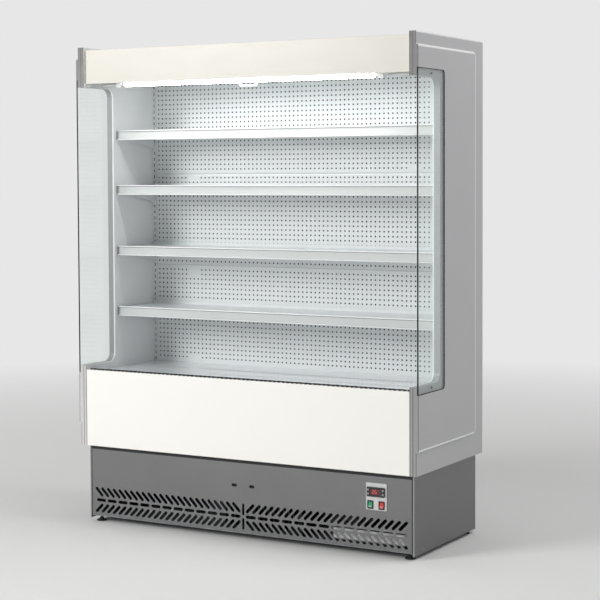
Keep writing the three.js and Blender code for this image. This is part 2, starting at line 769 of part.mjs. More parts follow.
// Rocker switches: a framed housing, and a cap with a shallow V front that tips about its middle.
function switches() {
  const pocketX = SWITCH_WIDTH / 2 - SWITCH_LIP - SWITCH_WALL;
  const pocketZ = SWITCH_HEIGHT / 2 - SWITCH_LIP - SWITCH_WALL;
  const rockerX = pocketX - ROCKER_PLAY;
  const reach = pocketZ - ROCKER_PLAY;
  const capBack = 4;
  const capFront = 5;
  const kinds = [
    ["power", -1, finishes.greenRocker],
    ["light", 1, finishes.redRocker],
  ];
  for (const [kind, side, material] of kinds) {
    const x = bezelX + side * SWITCH_SPREAD;
    const rim = roundedBox(
      x - SWITCH_WIDTH / 2,
      x + SWITCH_WIDTH / 2,
      switchZ - SWITCH_HEIGHT / 2,
      switchZ + SWITCH_HEIGHT / 2,
      2,
    );
    const bodyX = SWITCH_WIDTH / 2 - SWITCH_LIP;
    const bodyZ = SWITCH_HEIGHT / 2 - SWITCH_LIP;
    const rear = plateFront + SWITCH_DEPTH;
    const housing = cut(
      join(
        drawn("y", rim, switchFront, plateFront - GAP),
        block(x - bodyX, x + bodyX, plateFront - 1, rear, switchZ - bodyZ, switchZ + bodyZ),
      ),
      block(
        x - pocketX,
        x + pocketX,
        switchFront - 1,
        rear - SWITCH_WALL * 3,
        switchZ - pocketZ,
        switchZ + pocketZ,
      ),
    );
    const pivotY = switchFront + ROCKER_PIVOT_DEPTH;
    const reachX = pocketX + PIN_LENGTH;
    const bore = rod("x", pivotY, switchZ, PIN_RADIUS + GAP, x - reachX - GAP, x + reachX + GAP, 8);
    add(kind + "_switch_housing", cut(housing, bore), finishes.blackPlastic);
    const corner = Math.sqrt(reach * reach - capFront * capFront);
    const profile = [
      [-capFront, -corner],
      [capBack, -corner + 1.5],
      [capBack, corner - 1.5],
      [-capFront, corner],
      [-capFront + 1.6, 0],
    ];
    const pins = rod("x", 0, 0, PIN_RADIUS, -reachX, reachX, 8);
    const cap = join(drawn("x", profile, -rockerX, rockerX), pins)
      .rotate([-ROCKER_TILT, 0, 0])
      .translate([x, pivotY, switchZ]);
    add(kind + "_rocker", cap, material);
  }
}

// ---------------------------------------------------------------- machinery in the base

// A finned block: a comb of fins on a solid core, drawn in (X, Z).
function finnedBlock(x0, x1, z0, z1, pitch, gap, core, y0, y1) {
  const count = Math.floor((x1 - x0 - pitch) / pitch);
  const margin = (x1 - x0 - count * pitch) / 2;
  const points = [
    [x0, z0],
    [x1, z0],
    [x1, z1],
  ];
  for (let i = count - 1; i >= 0; i--) {
    const middle = x0 + margin + (i + 0.5) * pitch;
    points.push([middle + gap / 2, z1], [middle + gap / 2, z0 + core]);
    points.push([middle - gap / 2, z0 + core], [middle - gap / 2, z1]);
  }
  points.push([x0, z1]);
  return drawn("y", points, y0, y1);
}

// A half-round return bend at the end of a coil, in a plane of constant Y.
function returnBend(x, y, z0, z1, side) {
  const radius = (z1 - z0) / 2;
  const turn = arc(0, (z0 + z1) / 2, radius, -Math.PI / 2, Math.PI, 4);
  const route = turn.map(([out, z]) => [x + side * (out + 6), y, z]);
  return pipe([[x, y, z0], ...route, [x, y, z1]], PIPE_RADIUS, 6, 6);
}

function condenser() {
  const x0 = COIL_CENTRE_X - COIL_WIDTH / 2;
  const z0 = trayTop + GAP;
  const fins = finnedBlock(
    x0,
    x0 + COIL_WIDTH,
    z0,
    z0 + COIL_HEIGHT,
    COIL_FIN_PITCH,
    COIL_FIN_GAP,
    18,
    COIL_FRONT,
    COIL_FRONT + COIL_DEPTH,
  );
  const middle = COIL_FRONT + COIL_DEPTH / 2;
  const bends = [-1, 1].map((side) =>
    returnBend(
      COIL_CENTRE_X + side * (COIL_WIDTH / 2 - 1),
      middle,
      z0 + COIL_HEIGHT * 0.3,
      z0 + COIL_HEIGHT * 0.55,
      side,
    ),
  );
  const inletZ = z0 + COIL_HEIGHT * COIL_INLET;
  const inlet = rod("x", middle, inletZ, PIPE_RADIUS, x0 - COIL_STUB, x0 + 2, 8);
  add("condenser_coil", join(fins, inlet, ...bends), finishes.aluminium);
}

// Shroud box behind the condenser, with the fan opening and a motor held on three struts.
function condenserShroud() {
  const x0 = COIL_CENTRE_X - COIL_WIDTH / 2;
  const x1 = x0 + COIL_WIDTH;
  const z0 = trayTop + GAP;
  const z1 = z0 + COIL_HEIGHT;
  const y0 = COIL_FRONT + COIL_DEPTH + GAP;
  const y1 = y0 + SHROUD_DEPTH;
  const centreZ = (z0 + z1) / 2;
  const opening = CONDENSER_FAN_RADIUS + FAN_CLEARANCE;
  const hollow = block(x0 + 2, x1 - 2, y0 - 1, y1 - 2, z0 + 2, z1 - 2);
  const bore = rod("y", COIL_CENTRE_X, centreZ, opening, y0, y1 + 1, 20);
  const motorFront = y1 + 6;
  const box = cut(block(x0, x1, y0, y1, z0, z1), hollow, bore);
  const ring = cut(
    rod("y", COIL_CENTRE_X, centreZ, opening + 4, y1 - 2, y1 + 16, 20),
    rod("y", COIL_CENTRE_X, centreZ, opening, y1 - 3, y1 + 17, 20),
  );
  const motor = rod("y", COIL_CENTRE_X, centreZ, MOTOR_RADIUS, motorFront + 6, motorFront + MOTOR_LENGTH, 12);
  const struts = [90, 210, 330].map((degrees) =>
    block(0, opening + 3, -3, 3, -4, 4)
      .rotate([0, -degrees, 0])
      .translate([COIL_CENTRE_X, motorFront + 9, centreZ]),
  );
  const fanY = y1 - FAN_SETBACK;
  const hubRear = fanY + FAN_HUB_LENGTH / 2;
  const nose = rod("y", COIL_CENTRE_X, centreZ, MOTOR_NOSE_RADIUS, hubRear + GAP, motorFront + 7, 8);
  add("condenser_fan_shroud", join(box, ring, motor, nose, ...struts), finishes.blackEnamel);
  const fan = bladedFan(CONDENSER_FAN_RADIUS).translate([COIL_CENTRE_X, fanY, centreZ]);
  add("condenser_fan", fan, finishes.blackPlastic);
}

// Axial fan about the Y axis: a hub with paddle blades set at an angle.
function bladedFan(radius) {
  const hub = rod("y", 0, 0, FAN_HUB_RADIUS, -FAN_HUB_LENGTH / 2, FAN_HUB_LENGTH / 2, 14);
  const root = FAN_HUB_RADIUS - 6;
  const chordRoot = 15;
  const chordTip = 27;
  const paddle = new THREE.Shape();
  paddle.moveTo(root, -chordRoot);
  paddle.lineTo(root, chordRoot);
  paddle.quadraticCurveTo(radius * 0.7, chordTip * 1.2, radius * 0.93, chordTip * 0.75);
  paddle.quadraticCurveTo(radius * 1.0, 0, radius * 0.9, -chordTip);
  paddle.quadraticCurveTo(radius * 0.6, -chordTip, root, -chordRoot);
  const half = FAN_BLADE_THICKNESS / 2;
  const blade = drawn("z", paddle, -half, half, { curveSegments: 2 }).rotate([FAN_BLADE_PITCH, 0, 0]);
  const blades = Array.from({ length: FAN_BLADES }, (_, i) =>
    blade.rotate([90, 0, 0]).rotate([0, (360 * i) / FAN_BLADES, 0]),
  );
  return join(hub, ...blades);
}

// Hermetic compressor: a domed pot on a footed plate, with its terminal cover and stub pipes.
function compressor() {
  const plateZ = trayTop + GAP + COMPRESSOR_PAD;
  const top = trayTop + COMPRESSOR_HEIGHT;
  const radius = COMPRESSOR_RADIUS;
  const pot = turned(
    [
      [0, plateZ + 2],
      [radius - 18, plateZ + 2],
      [radius - 4, plateZ + 16],
      [radius, plateZ + 78],
      [radius + 4, plateZ + 80],
      [radius + 4, plateZ + 86],
      [radius - 2, plateZ + 88],
      [radius - 16, top - 14],
      [0, top],
    ],
    14,
  ).translate([COMPRESSOR_X, COMPRESSOR_Y, 0]);
  const footX = radius + 14;
  const footY = radius - 14;
  const plate = block(
    COMPRESSOR_X - footX - 14,
    COMPRESSOR_X + footX + 14,
    COMPRESSOR_Y - footY - 12,
    COMPRESSOR_Y + footY + 12,
    plateZ,
    plateZ + 4,
  );
  const pads = [-1, 1].flatMap((sx) =>
    [-1, 1].map((sy) =>
      rod("z", COMPRESSOR_X + sx * footX, COMPRESSOR_Y + sy * footY, 11, trayTop + GAP, plateZ + 10, 8),
    ),
  );
  const terminals = block(
    COMPRESSOR_X + radius - 10,
    COMPRESSOR_X + radius + 26,
    COMPRESSOR_Y - 28,
    COMPRESSOR_Y + 28,
    plateZ + 22,
    plateZ + 76,
  );
  add("compressor", join(pot, plate, terminals, ...pads), finishes.blackEnamel);
}

// Open pan that boils off the melt water, under the controls.
function condensatePan() {
  const z0 = trayTop + GAP;
  const right = panLeft + PAN_WIDTH;
  const rear = PAN_FRONT + PAN_DEPTH;
  const pan = cut(
    block(panLeft, right, PAN_FRONT, rear, z0, z0 + PAN_HEIGHT),
    block(
      panLeft + PAN_WALL,
      right - PAN_WALL,
      PAN_FRONT + PAN_WALL,
      rear - PAN_WALL,
      z0 + PAN_WALL,
      z0 + PAN_HEIGHT + 1,
    ),
  );
  const lip = PAN_WALL + 4;
  const rim = cut(
    block(panLeft - 4, right + 4, PAN_FRONT - 4, rear + 4, z0 + PAN_HEIGHT - 2, z0 + PAN_HEIGHT),
    block(
      panLeft + lip - 4,
      right - lip + 4,
      PAN_FRONT + lip - 4,
      rear - lip + 4,
      z0 + PAN_HEIGHT - 3,
      z0 + PAN_HEIGHT + 1,
    ),
  );
  add("condensate_pan", join(pan, rim), finishes.galvanised);
}

// Discharge pipe from the compressor's dome to the condenser's top bar.
function dischargePipe() {
  const coilTop = trayTop + GAP + COIL_HEIGHT * COIL_INLET;
  const coilEnd = COIL_CENTRE_X - COIL_WIDTH / 2 - COIL_STUB - GAP;
  const coilY = COIL_FRONT + COIL_DEPTH / 2;
  const potTop = trayTop + COMPRESSOR_HEIGHT;
  const potY = COMPRESSOR_Y - 2 * PIPE_RADIUS;
  const bowX = coilEnd - DISCHARGE_SWING;
  const route = [
    [COMPRESSOR_X, potY, potTop + 2 * GAP],
    [COMPRESSOR_X, potY, potTop + DISCHARGE_RISE],
    [(COMPRESSOR_X + bowX) / 2, potY, potTop + DISCHARGE_CREST],
    [bowX, (2 * potY + coilY) / 3, potTop + DISCHARGE_RISE],
    [bowX, (potY + 2 * coilY) / 3, coilTop + PIPE_RADIUS],
    [(bowX + coilEnd) / 2, coilY + PIPE_RADIUS, coilTop],
    [coilEnd - DISCHARGE_RISE, coilY, coilTop],
    [coilEnd, coilY, coilTop],
  ];
  add("discharge_pipe", pipe(route, PIPE_RADIUS, 20, 6), finishes.copper);
}

// Insulated suction line from the evaporator, down through the tub floor to the compressor.
function suctionLine() {
  const bend = SUCTION_BEND;
  const potSide = COMPRESSOR_X - COMPRESSOR_RADIUS - SHEET;
  const stubZ = trayTop + COMPRESSOR_HEIGHT - SUCTION_DROP;
  const riserX = potSide - SUCTION_RUN;
  const top = tubFloorTop + EVAPORATOR_RISE + EVAPORATOR_HEIGHT / 2;
  const coilRear = evaporatorFront + EVAPORATOR_DEPTH;
  const route = [
    [potSide, COMPRESSOR_Y, stubZ],
    [potSide - 2 * bend, COMPRESSOR_Y, stubZ],
    [riserX + 2 * bend, COMPRESSOR_Y + bend, stubZ],
    [riserX, suctionY - bend, stubZ + 2 * bend],
    [riserX, suctionY, stubZ + 5 * bend],
    [riserX, suctionY, CABINET_BOTTOM],
    [riserX, suctionY, tubFloorTop + bend],
    [riserX, suctionY, top - 3 * bend],
    [riserX, suctionY - bend, top - bend / 2],
    [riserX, coilRear + 1.5 * bend, top],
    [riserX, coilRear + GAP, top],
  ];
  add("suction_line", pipe(route, SUCTION_RADIUS, 16), finishes.insulation);
  return riserX;
}

// ---------------------------------------------------------------- cabinet

// Insulated body: rear wall, roof and tub in one C-shaped section between the side panels.
function carcass(riserX) {
  const roofFront = FASCIA_SETBACK + FASCIA_SHEET + GAP;
  const flangeRear = FASCIA_SETBACK + FASCIA_TOP_FLANGE + GAP;
  const flangeSeat = roofTop - FASCIA_SHEET - GAP;
  const tubFront = FRONT_SHEET + GAP;
  const wallTop = FRONT_PANEL_TOP - FRONT_SHEET - GAP;
  const ledge = FRONT_PANEL_TOP - RETURN_GRILLE_DROP - SHEET - GAP;
  const points = [
    [FRONT_BOTTOM_FLANGE + GAP, CABINET_BOTTOM],
    [DEPTH, CABINET_BOTTOM],
    [DEPTH, roofTop],
    [flangeRear, roofTop],
    [flangeRear, flangeSeat],
    [roofFront, flangeSeat],
    [roofFront, roofUnderside],
    [rearWallFace, roofUnderside],
    [rearWallFace, tubFloorTop],
    [tubFront + TUB_FRONT_WALL, tubFloorTop],
    [tubFront + TUB_FRONT_WALL, ledge],
    [FRONT_TOP_FLANGE, ledge],
    [FRONT_TOP_FLANGE, wallTop],
    [tubFront, wallTop],
    [tubFront, CABINET_BOTTOM + FRONT_SHEET + GAP],
    [FRONT_BOTTOM_FLANGE + GAP, CABINET_BOTTOM + FRONT_SHEET + GAP],
  ];
  const body = drawn("x", points, -fitHalf, fitHalf);
  const drainX = panLeft + PAN_WIDTH / 2;
  const drainY = PAN_FRONT + PAN_DEPTH / 2;
  const spoutRadius = DRAIN_RADIUS + DRAIN_WALL;
  const spout = rod("z", drainX, drainY, spoutRadius, CABINET_BOTTOM - DRAIN_SPOUT, CABINET_BOTTOM + 1, 12);
  const drain = rod("z", drainX, drainY, DRAIN_RADIUS, CABINET_BOTTOM - DRAIN_SPOUT - 1, tubFloorTop + 1, 12);
  const riser = rod("z", riserX, suctionY, SUCTION_RADIUS + 2, CABINET_BOTTOM - 1, tubFloorTop + 1, 16);
  add("cabinet_carcass", cut(join(body, spout), drain, riser), finishes.whiteEnamel);
}

// Lower front panel: a folded sheet that hooks over the tub's front wall.
function frontPanel() {
  const points = [
    [0, CABINET_BOTTOM],
    [FRONT_BOTTOM_FLANGE, CABINET_BOTTOM],
    [FRONT_BOTTOM_FLANGE, CABINET_BOTTOM + FRONT_SHEET],
    [FRONT_SHEET, CABINET_BOTTOM + FRONT_SHEET],
    [FRONT_SHEET, FRONT_PANEL_TOP - FRONT_SHEET],
    [FRONT_TOP_FLANGE - GAP, FRONT_PANEL_TOP - FRONT_SHEET],
    [FRONT_TOP_FLANGE - GAP, FRONT_PANEL_TOP],
    [0, FRONT_PANEL_TOP],
  ];
  add("front_panel", drawn("x", points, -fitHalf, fitHalf), finishes.whiteEnamel);
}

// Outline of a side panel in (Y, Z): rear column with an upper and a lower arm round the window.
function sidePanelOutline() {
  const shape = new THREE.Shape();
  const r = SIDE_CORNER_RADIUS;
  const w = WINDOW_RADIUS;
  shape.moveTo(0, CABINET_BOTTOM);
  shape.lineTo(DEPTH - r, CABINET_BOTTOM);
  shape.absarc(DEPTH - r, CABINET_BOTTOM + r, r, -Math.PI / 2, 0);
  shape.lineTo(DEPTH, HEIGHT - r);
  shape.absarc(DEPTH - r, HEIGHT - r, r, 0, Math.PI / 2);
  shape.lineTo(0, HEIGHT);
  shape.lineTo(0, windowTop);
  shape.lineTo(WINDOW_REAR - w, windowTop);
  shape.absarc(WINDOW_REAR - w, windowTop - w, w, Math.PI / 2, 0, true);
  shape.lineTo(WINDOW_REAR, WINDOW_BOTTOM + w);
  shape.absarc(WINDOW_REAR - w, WINDOW_BOTTOM + w, w, 0, -Math.PI / 2, true);
  shape.lineTo(0, WINDOW_BOTTOM);
  return shape;
}

// Outline of the raised field, open to the front edge.
function raisedFieldOutline() {
  const shape = new THREE.Shape();
  const rear = DEPTH - FIELD_REAR_BAND - FIELD_BEVEL;
  const low = CABINET_BOTTOM + FIELD_BOTTOM_BAND + FIELD_BEVEL;
  const high = HEIGHT - FIELD_TOP_BAND - FIELD_BEVEL;
  const r = SIDE_CORNER_RADIUS;
  shape.moveTo(-FIELD_BEVEL * 3, low);
  shape.lineTo(rear - r, low);
  shape.absarc(rear - r, low + r, r, -Math.PI / 2, 0);
  shape.lineTo(rear, high - r);
  shape.absarc(rear - r, high - r, r, 0, Math.PI / 2);
  shape.lineTo(-FIELD_BEVEL * 3, high);
  return shape;
}

// Outline of a side glass, grown by `play` on the edges that meet the panel.
function glassOutline(front, play) {
  const shape = new THREE.Shape();
  const rear = WINDOW_REAR + GLASS_OVERLAP + play;
  const low = WINDOW_BOTTOM - GLASS_OVERLAP - play;
  const high = windowTop + GLASS_OVERLAP + play;
  const r = 14 + play;
  shape.moveTo(front, low);
  shape.lineTo(rear - r, low);
  shape.absarc(rear - r, low + r, r, -Math.PI / 2, 0);
  shape.lineTo(rear, high - r);
  shape.absarc(rear - r, high - r, r, 0, Math.PI / 2);
  shape.lineTo(front, high);
  return shape;
}

function sidePanels() {
  const face = halfWidth + FIELD_RISE;
  const rim = drawn("x", sidePanelOutline(), innerHalf, halfWidth, { curveSegments: 6 });
  const field = drawn("x", raisedFieldOutline(), halfWidth - 3, face - FIELD_BEVEL, {
    bevelEnabled: true,
    bevelThickness: FIELD_BEVEL,
    bevelSize: FIELD_BEVEL,
    bevelSegments: 1,
    curveSegments: 4,
  });
  const keep = drawn("x", sidePanelOutline(), innerHalf - 20, face + 20, { curveSegments: 6 });
  const seat = drawn(
    "x",
    glassOutline(-10, GLASS_SEAT_PLAY),
    face - GLASS_THICKNESS - GAP,
    face + 5,
  );
  const outerField = cut(field, block(0, halfWidth - 0.01, -50, DEPTH, 0, HEIGHT + 10));
  const panel = cut(join(rim, outerField.intersect(keep)), seat);
  add("side_panel_right", panel, finishes.greyMoulding);
  add("side_panel_left", mirrored(panel), finishes.greyMoulding);
  const glass = drawn("x", glassOutline(0, 0), face - GLASS_THICKNESS, face);
  add("side_glass_right", glass, finishes.glass);
  add("side_glass_left", mirrored(glass), finishes.glass);
}

// ---------------------------------------------------------------- tub, deck and back

function returnGrille() {
  const top = FRONT_PANEL_TOP - RETURN_GRILLE_DROP;
  const front = FRONT_TOP_FLANGE + GAP;
  const slotFront = FRONT_SHEET + GAP + TUB_FRONT_WALL + RETURN_SLOT_WIDTH / 2;
  const middle = (slotFront + DECK_FRONT - RETURN_SLOT_WIDTH / 2) / 2;
  const usable = 2 * fitHalf - 2 * RETURN_SLOT_PITCH;
  const count = Math.floor(usable / RETURN_SLOT_PITCH);
  const holes = Array.from({ length: count }, (_, i) => {
    const x = (i - (count - 1) / 2) * RETURN_SLOT_PITCH;
    const half = RETURN_SLOT_RUN / 2;
    return slot(x - half * 1.3, middle - half, x + half * 1.3, middle + half, RETURN_SLOT_WIDTH);
  });
  const sheet = box2d(-fitHalf, fitHalf, front, RETURN_GRILLE_REAR);
  const leg = block(
    -fitHalf,
    fitHalf,
    DECK_FRONT - GAP - SHEET,
    DECK_FRONT - GAP,
    DECK_TOP - RETURN_LEG_LAP,
    top - SHEET / 2,
  );
  const plate = pierced("z", sheet, holes, top - SHEET, top);
  add("return_air_grille", join(plate, leg), finishes.whiteEnamel);
}

function deck() {
  const rear = uprightFront - GAP;
  const points = [
    [DECK_FRONT, deckUnderside - DECK_FLANGE],
    [DECK_FRONT + SHEET, deckUnderside - DECK_FLANGE],
    [DECK_FRONT + SHEET, deckUnderside],
    [rear, deckUnderside],
    [rear, DECK_TOP],
    [DECK_FRONT, DECK_TOP],
  ];
  add("deck_tray", drawn("x", points, -fitHalf, fitHalf), finishes.whiteEnamel);
}

// Three back panels, one above the other, each a sheet with its side edges turned back.
function backPanels() {
  const half = innerHalf - GAP - UPRIGHT_WIDTH - GAP;
  const names = ["back_panel_lower", "back_panel_middle", "back_panel_upper"];
  const joints = [0, ...BACK_JOINTS, 1].map((share) => DECK_TOP + share * (backTop - DECK_TOP));
  const rear = backFace + BACK_SHEET;
  const points = [
    [-half, backFace],
    [half, backFace],
    [half, backFace + BACK_RETURN],
    [half - BACK_SHEET, backFace + BACK_RETURN],
    [half - BACK_SHEET, rear],
    [-half + BACK_SHEET, rear],
    [-half + BACK_SHEET, backFace + BACK_RETURN],
    [-half, backFace + BACK_RETURN],
  ];
  names.forEach((name, i) => {
    const isLowest = i === 0;
    const low = isLowest ? deckUnderside - GAP - SHEET : joints[i] + GAP / 2;
    const high = joints[i + 1] - GAP / 2;
    let panel = drawn("z", points, low, high);
    if (isLowest) {
      const ledge = block(-half, half, backFace - BACK_LEDGE, backFace + BACK_SHEET, low, low + SHEET);
      panel = join(panel, ledge);
    }
    add(name, panel, finishes.whiteEnamel);
  });
}

// Slotted uprights in the rear corners: a channel with a web that stands off the rear wall.
function uprights() {
  const outer = innerHalf - GAP;
  const inner = outer - UPRIGHT_WIDTH;
  const front = uprightFront;
  const section = [
    [inner, front],
    [outer, front],
    [outer, rearWallFace - GAP],
    [outer - UPRIGHT_WALL, rearWallFace - GAP],
    [outer - UPRIGHT_WALL, front + UPRIGHT_WALL],
    [inner + UPRIGHT_WALL, front + UPRIGHT_WALL],
    [inner + UPRIGHT_WALL, front + UPRIGHT_DEPTH],
    [inner, front + UPRIGHT_DEPTH],
  ];
  const bottom = DECK_TOP + GAP;
  let upright = drawn("z", section, bottom, backTop);
  const count = Math.floor((backTop - notchZ(1)) / NOTCH_PITCH);
  const x = inner + UPRIGHT_WIDTH / 2;
  for (let i = 1; i <= count; i++) {
    const z = notchZ(i);
    upright = cut(
      upright,
      block(
        x - NOTCH_WIDTH / 2,
        x + NOTCH_WIDTH / 2,
        front - 1,
        front + UPRIGHT_WALL + 1,
        z - NOTCH_HEIGHT / 2,
        z + NOTCH_HEIGHT / 2,
      ),
    );
  }
  add("upright_right", upright, finishes.whiteEnamel);
  add("upright_left", mirrored(upright), finishes.whiteEnamel);
}

// ---------------------------------------------------------------- shelves

// Shelf: a folded pan on two tapered end brackets whose hooks enter the uprights.
function shelves() {
  const half = innerHalf - SHELF_END_GAP;
  const rear = backFace - SHELF_REAR_GAP;
  const bracketX = innerHalf - GAP - UPRIGHT_WIDTH / 2;
  shelfTops.forEach((railTop, i) => {
    const top = railTop - SHELF_DROP;
    const under = top - SHEET;
    const low = top - SHELF_FLANGE;
    const pan = [
      [SHELF_FRONT, low],
      [SHELF_FRONT + SHELF_HEM, low],
      [SHELF_FRONT + SHELF_HEM, low + SHEET],
      [SHELF_FRONT + SHEET, low + SHEET],
      [SHELF_FRONT + SHEET, under],
      [rear, under],
      [rear, top + SHELF_UPSTAND],
      [rear - SHEET, top + SHELF_UPSTAND],
      [rear - SHEET, top],
      [SHELF_FRONT, top],
    ];
    const bracketFront = SHELF_FRONT + SHELF_HEM + 6;
    const bracket = [
      [bracketFront, under + SHEET / 2],
      [bracketFront, top - BRACKET_FRONT_DEPTH],
      [rear, top - BRACKET_REAR_DEPTH],
      [rear, under + SHEET / 2],
    ];
    let shelf = drawn("x", pan, -half, half);
    for (const side of [-1, 1]) {
      const x = side * bracketX;
      const x0 = x - BRACKET_THICKNESS / 2;
      const x1 = x + BRACKET_THICKNESS / 2;
      shelf = join(shelf, drawn("x", bracket, x0, x1));
      for (const step of [0, 2]) {
        const z = top - NOTCH_PITCH / 2 - step * NOTCH_PITCH;
        const tip = uprightFront + HOOK_LENGTH;
        shelf = join(shelf, block(x0, x1, rear - 1, tip, z - HOOK_HEIGHT / 2, z + HOOK_HEIGHT / 2));
      }
    }
    add("shelf_" + (i + 1), shelf, finishes.whiteEnamel);
  });
}

// Label rail: a shallow channel with a lip along its top and bottom edges.
function labelRails() {
  const half = innerHalf - SHELF_END_GAP;
  const rear = SHELF_FRONT - GAP;
  const front = rear - RAIL_DEPTH;
  const web = rear - RAIL_WALL;
  shelfTops.forEach((top, i) => {
    const low = top - RAIL_HEIGHT;
    const points = [
      [rear, low],
      [rear, top],
      [front, top],
      [front, top - RAIL_LIP],
      [front + RAIL_WALL, top - RAIL_LIP],
      [web, top - RAIL_WALL * 1.5],
      [web, low + RAIL_WALL * 1.5],
      [front + RAIL_WALL, low + RAIL_LIP],
      [front, low + RAIL_LIP],
      [front, low],
    ];
    add("label_rail_" + (i + 1), drawn("x", points, -half, half), finishes.paleRail);
  });
}

// ---------------------------------------------------------------- canopy

function fascia() {
  const front = FASCIA_SETBACK;
  const back = front + FASCIA_SHEET;
  const top = roofTop;
  const points = [
    [front, fasciaBottom],
    [front + FASCIA_BOTTOM_FLANGE, fasciaBottom],
    [front + FASCIA_BOTTOM_FLANGE, fasciaBottom + 8],
    [front + FASCIA_BOTTOM_FLANGE - FASCIA_SHEET, fasciaBottom + 8],
    [front + FASCIA_BOTTOM_FLANGE - FASCIA_SHEET, fasciaBottom + FASCIA_SHEET],
    [back, fasciaBottom + FASCIA_SHEET],
    [back, top - FASCIA_SHEET],
    [front + FASCIA_TOP_FLANGE, top - FASCIA_SHEET],
    [front + FASCIA_TOP_FLANGE, top],
    [front, top],
  ];
  add("canopy_fascia", drawn("x", points, -fitHalf, fitHalf), finishes.creamEnamel);
}

// Lamp tube between two holders on a channel that hangs from the roof.
function lamp() {
  const tube = rod("x", LAMP_Y, lampZ, LAMP_RADIUS, -lampHalf, lampHalf, 12);
  add("lamp_tube", tube, finishes.lamp);
  const half = LAMP_CARRIER_WIDTH / 2;
  const low = lampZ + LAMP_RADIUS + 4;
  const carrierHalf = lampHalf + GAP + LAMP_HOLDER_LENGTH;
  const channel = [
    [LAMP_Y - half, low],
    [LAMP_Y + half, low],
    [LAMP_Y + half, roofUnderside - GAP],
    [LAMP_Y + half - SHEET, roofUnderside - GAP],
    [LAMP_Y + half - SHEET, low + SHEET],
    [LAMP_Y - half + SHEET, low + SHEET],
    [LAMP_Y - half + SHEET, roofUnderside - GAP],
    [LAMP_Y - half, roofUnderside - GAP],
  ];
  const holders = [-1, 1].map((side) => {
    const a = side * (lampHalf + GAP);
    const b = side * carrierHalf;
    return block(Math.min(a, b), Math.max(a, b), LAMP_Y - 10, LAMP_Y + 10, lampZ - 10, low + 1);
  });
  const carrier = join(drawn("x", channel, -carrierHalf, carrierHalf), ...holders);
  add("lamp_carrier", carrier, finishes.whiteEnamel);
}

// Night blind: bracket plates on a mounting bar, the roller, the hanging cloth and the pull bar.
function nightBlind() {
  const axisY = BLIND_Y + BLIND_THICKNESS / 2 + 0.5 + BLIND_ROLL_RADIUS;
  const bracketInner = blindHalf + BLIND_BRACKET_GAP;
  const bracketOuter = bracketInner + BLIND_BRACKET_THICKNESS;
  const reach = BLIND_BRACKET_WIDTH / 2;
  const low = blindAxisZ - BLIND_BRACKET_BELOW;
  const top = roofUnderside - GAP;
  let bracket = block(-bracketOuter, bracketOuter, axisY - reach, axisY + reach, top - SHEET * 2, top);
  for (const side of [-1, 1]) {
    const a = side * bracketInner;
    const b = side * bracketOuter;
    const [x0, x1] = [Math.min(a, b), Math.max(a, b)];
    bracket = join(bracket, block(x0, x1, axisY - reach, axisY + reach, low, top));
    bracket = cut(bracket, rod("x", axisY, blindAxisZ, BLIND_PIN_RADIUS + GAP, x0 - 1, x1 + 1, 12));
  }
  add("blind_bracket", bracket, finishes.galvanised);
  const pinEnd = bracketInner + BLIND_PIN_END;
  const roller = join(
    rod("x", axisY, blindAxisZ, BLIND_ROLL_RADIUS, -blindHalf, blindHalf, 20),
    rod("x", axisY, blindAxisZ, BLIND_PIN_RADIUS, -pinEnd, pinEnd, 12),
  );
  add("blind_roller", roller, finishes.blindCloth);
  const curtain = block(
    -blindHalf,
    blindHalf,
    BLIND_Y - BLIND_THICKNESS / 2,
    BLIND_Y + BLIND_THICKNESS / 2,
    pullBarTop + GAP,
    blindAxisZ,
  );
  add("blind_curtain", curtain, finishes.blindCloth);
  const barLow = pullBarTop - PULL_BAR_HEIGHT;
  const barHalf = blindHalf + 2;
  const bar = roundedBox(
    BLIND_Y - PULL_BAR_DEPTH / 2,
    BLIND_Y + PULL_BAR_DEPTH / 2,
    barLow,
    pullBarTop,
    4,
  );
  const grip = roundedBox(-GRIP_WIDTH / 2, GRIP_WIDTH / 2, barLow - GRIP_DROP, barLow + 6, 5);
  const fingers = box2d(
    -GRIP_WIDTH / 2 + GRIP_BAND,
    GRIP_WIDTH / 2 - GRIP_BAND,
    barLow - GRIP_DROP + GRIP_BAND,
    barLow - 1,
  );
  const pull = join(
    drawn("x", bar, -barHalf, barHalf, { curveSegments: 3 }),
    pierced("y", grip, [fingers], BLIND_Y - 3, BLIND_Y + 3),
  );
  add("blind_pull_bar", pull, finishes.paleRail);
}

// Cold-air outlet: the floor of the top duct, with a grid of cells and a wall at its front.
function airOutlet() {
  const low = backTop + GAP;
  const high = low + OUTLET_HEIGHT;
  const columnPitch = (2 * fitHalf - OUTLET_WALL) / OUTLET_COLUMNS;
  const rowPitch = (OUTLET_REAR - OUTLET_FRONT - OUTLET_WALL) / OUTLET_ROWS;
  const holes = [];
  for (let row = 0; row < OUTLET_ROWS; row++) {
    for (let column = 0; column < OUTLET_COLUMNS; column++) {
      const x = -fitHalf + OUTLET_WALL + column * columnPitch;
      const y = OUTLET_FRONT + OUTLET_WALL + row * rowPitch;
      holes.push(box2d(x, x + columnPitch - OUTLET_WALL, y, y + rowPitch - OUTLET_WALL));
    }
  }
  const frame = box2d(-fitHalf, fitHalf, OUTLET_FRONT, OUTLET_REAR);
  const grid = pierced("z", frame, holes, low, high);
  const wall = block(
    -fitHalf,
    fitHalf,
    OUTLET_FRONT,
    OUTLET_FRONT + SHEET,
    high - 2,
    roofUnderside - GAP,
  );
  const ductRear = backFace + BACK_SHEET;
  const duct = block(-fitHalf, fitHalf, OUTLET_REAR - 1, ductRear, low, low + SHEET);
  add("air_outlet_duct", join(grid, wall, duct), finishes.whiteEnamel);
}

// ---------------------------------------------------------------- evaporator in the tub

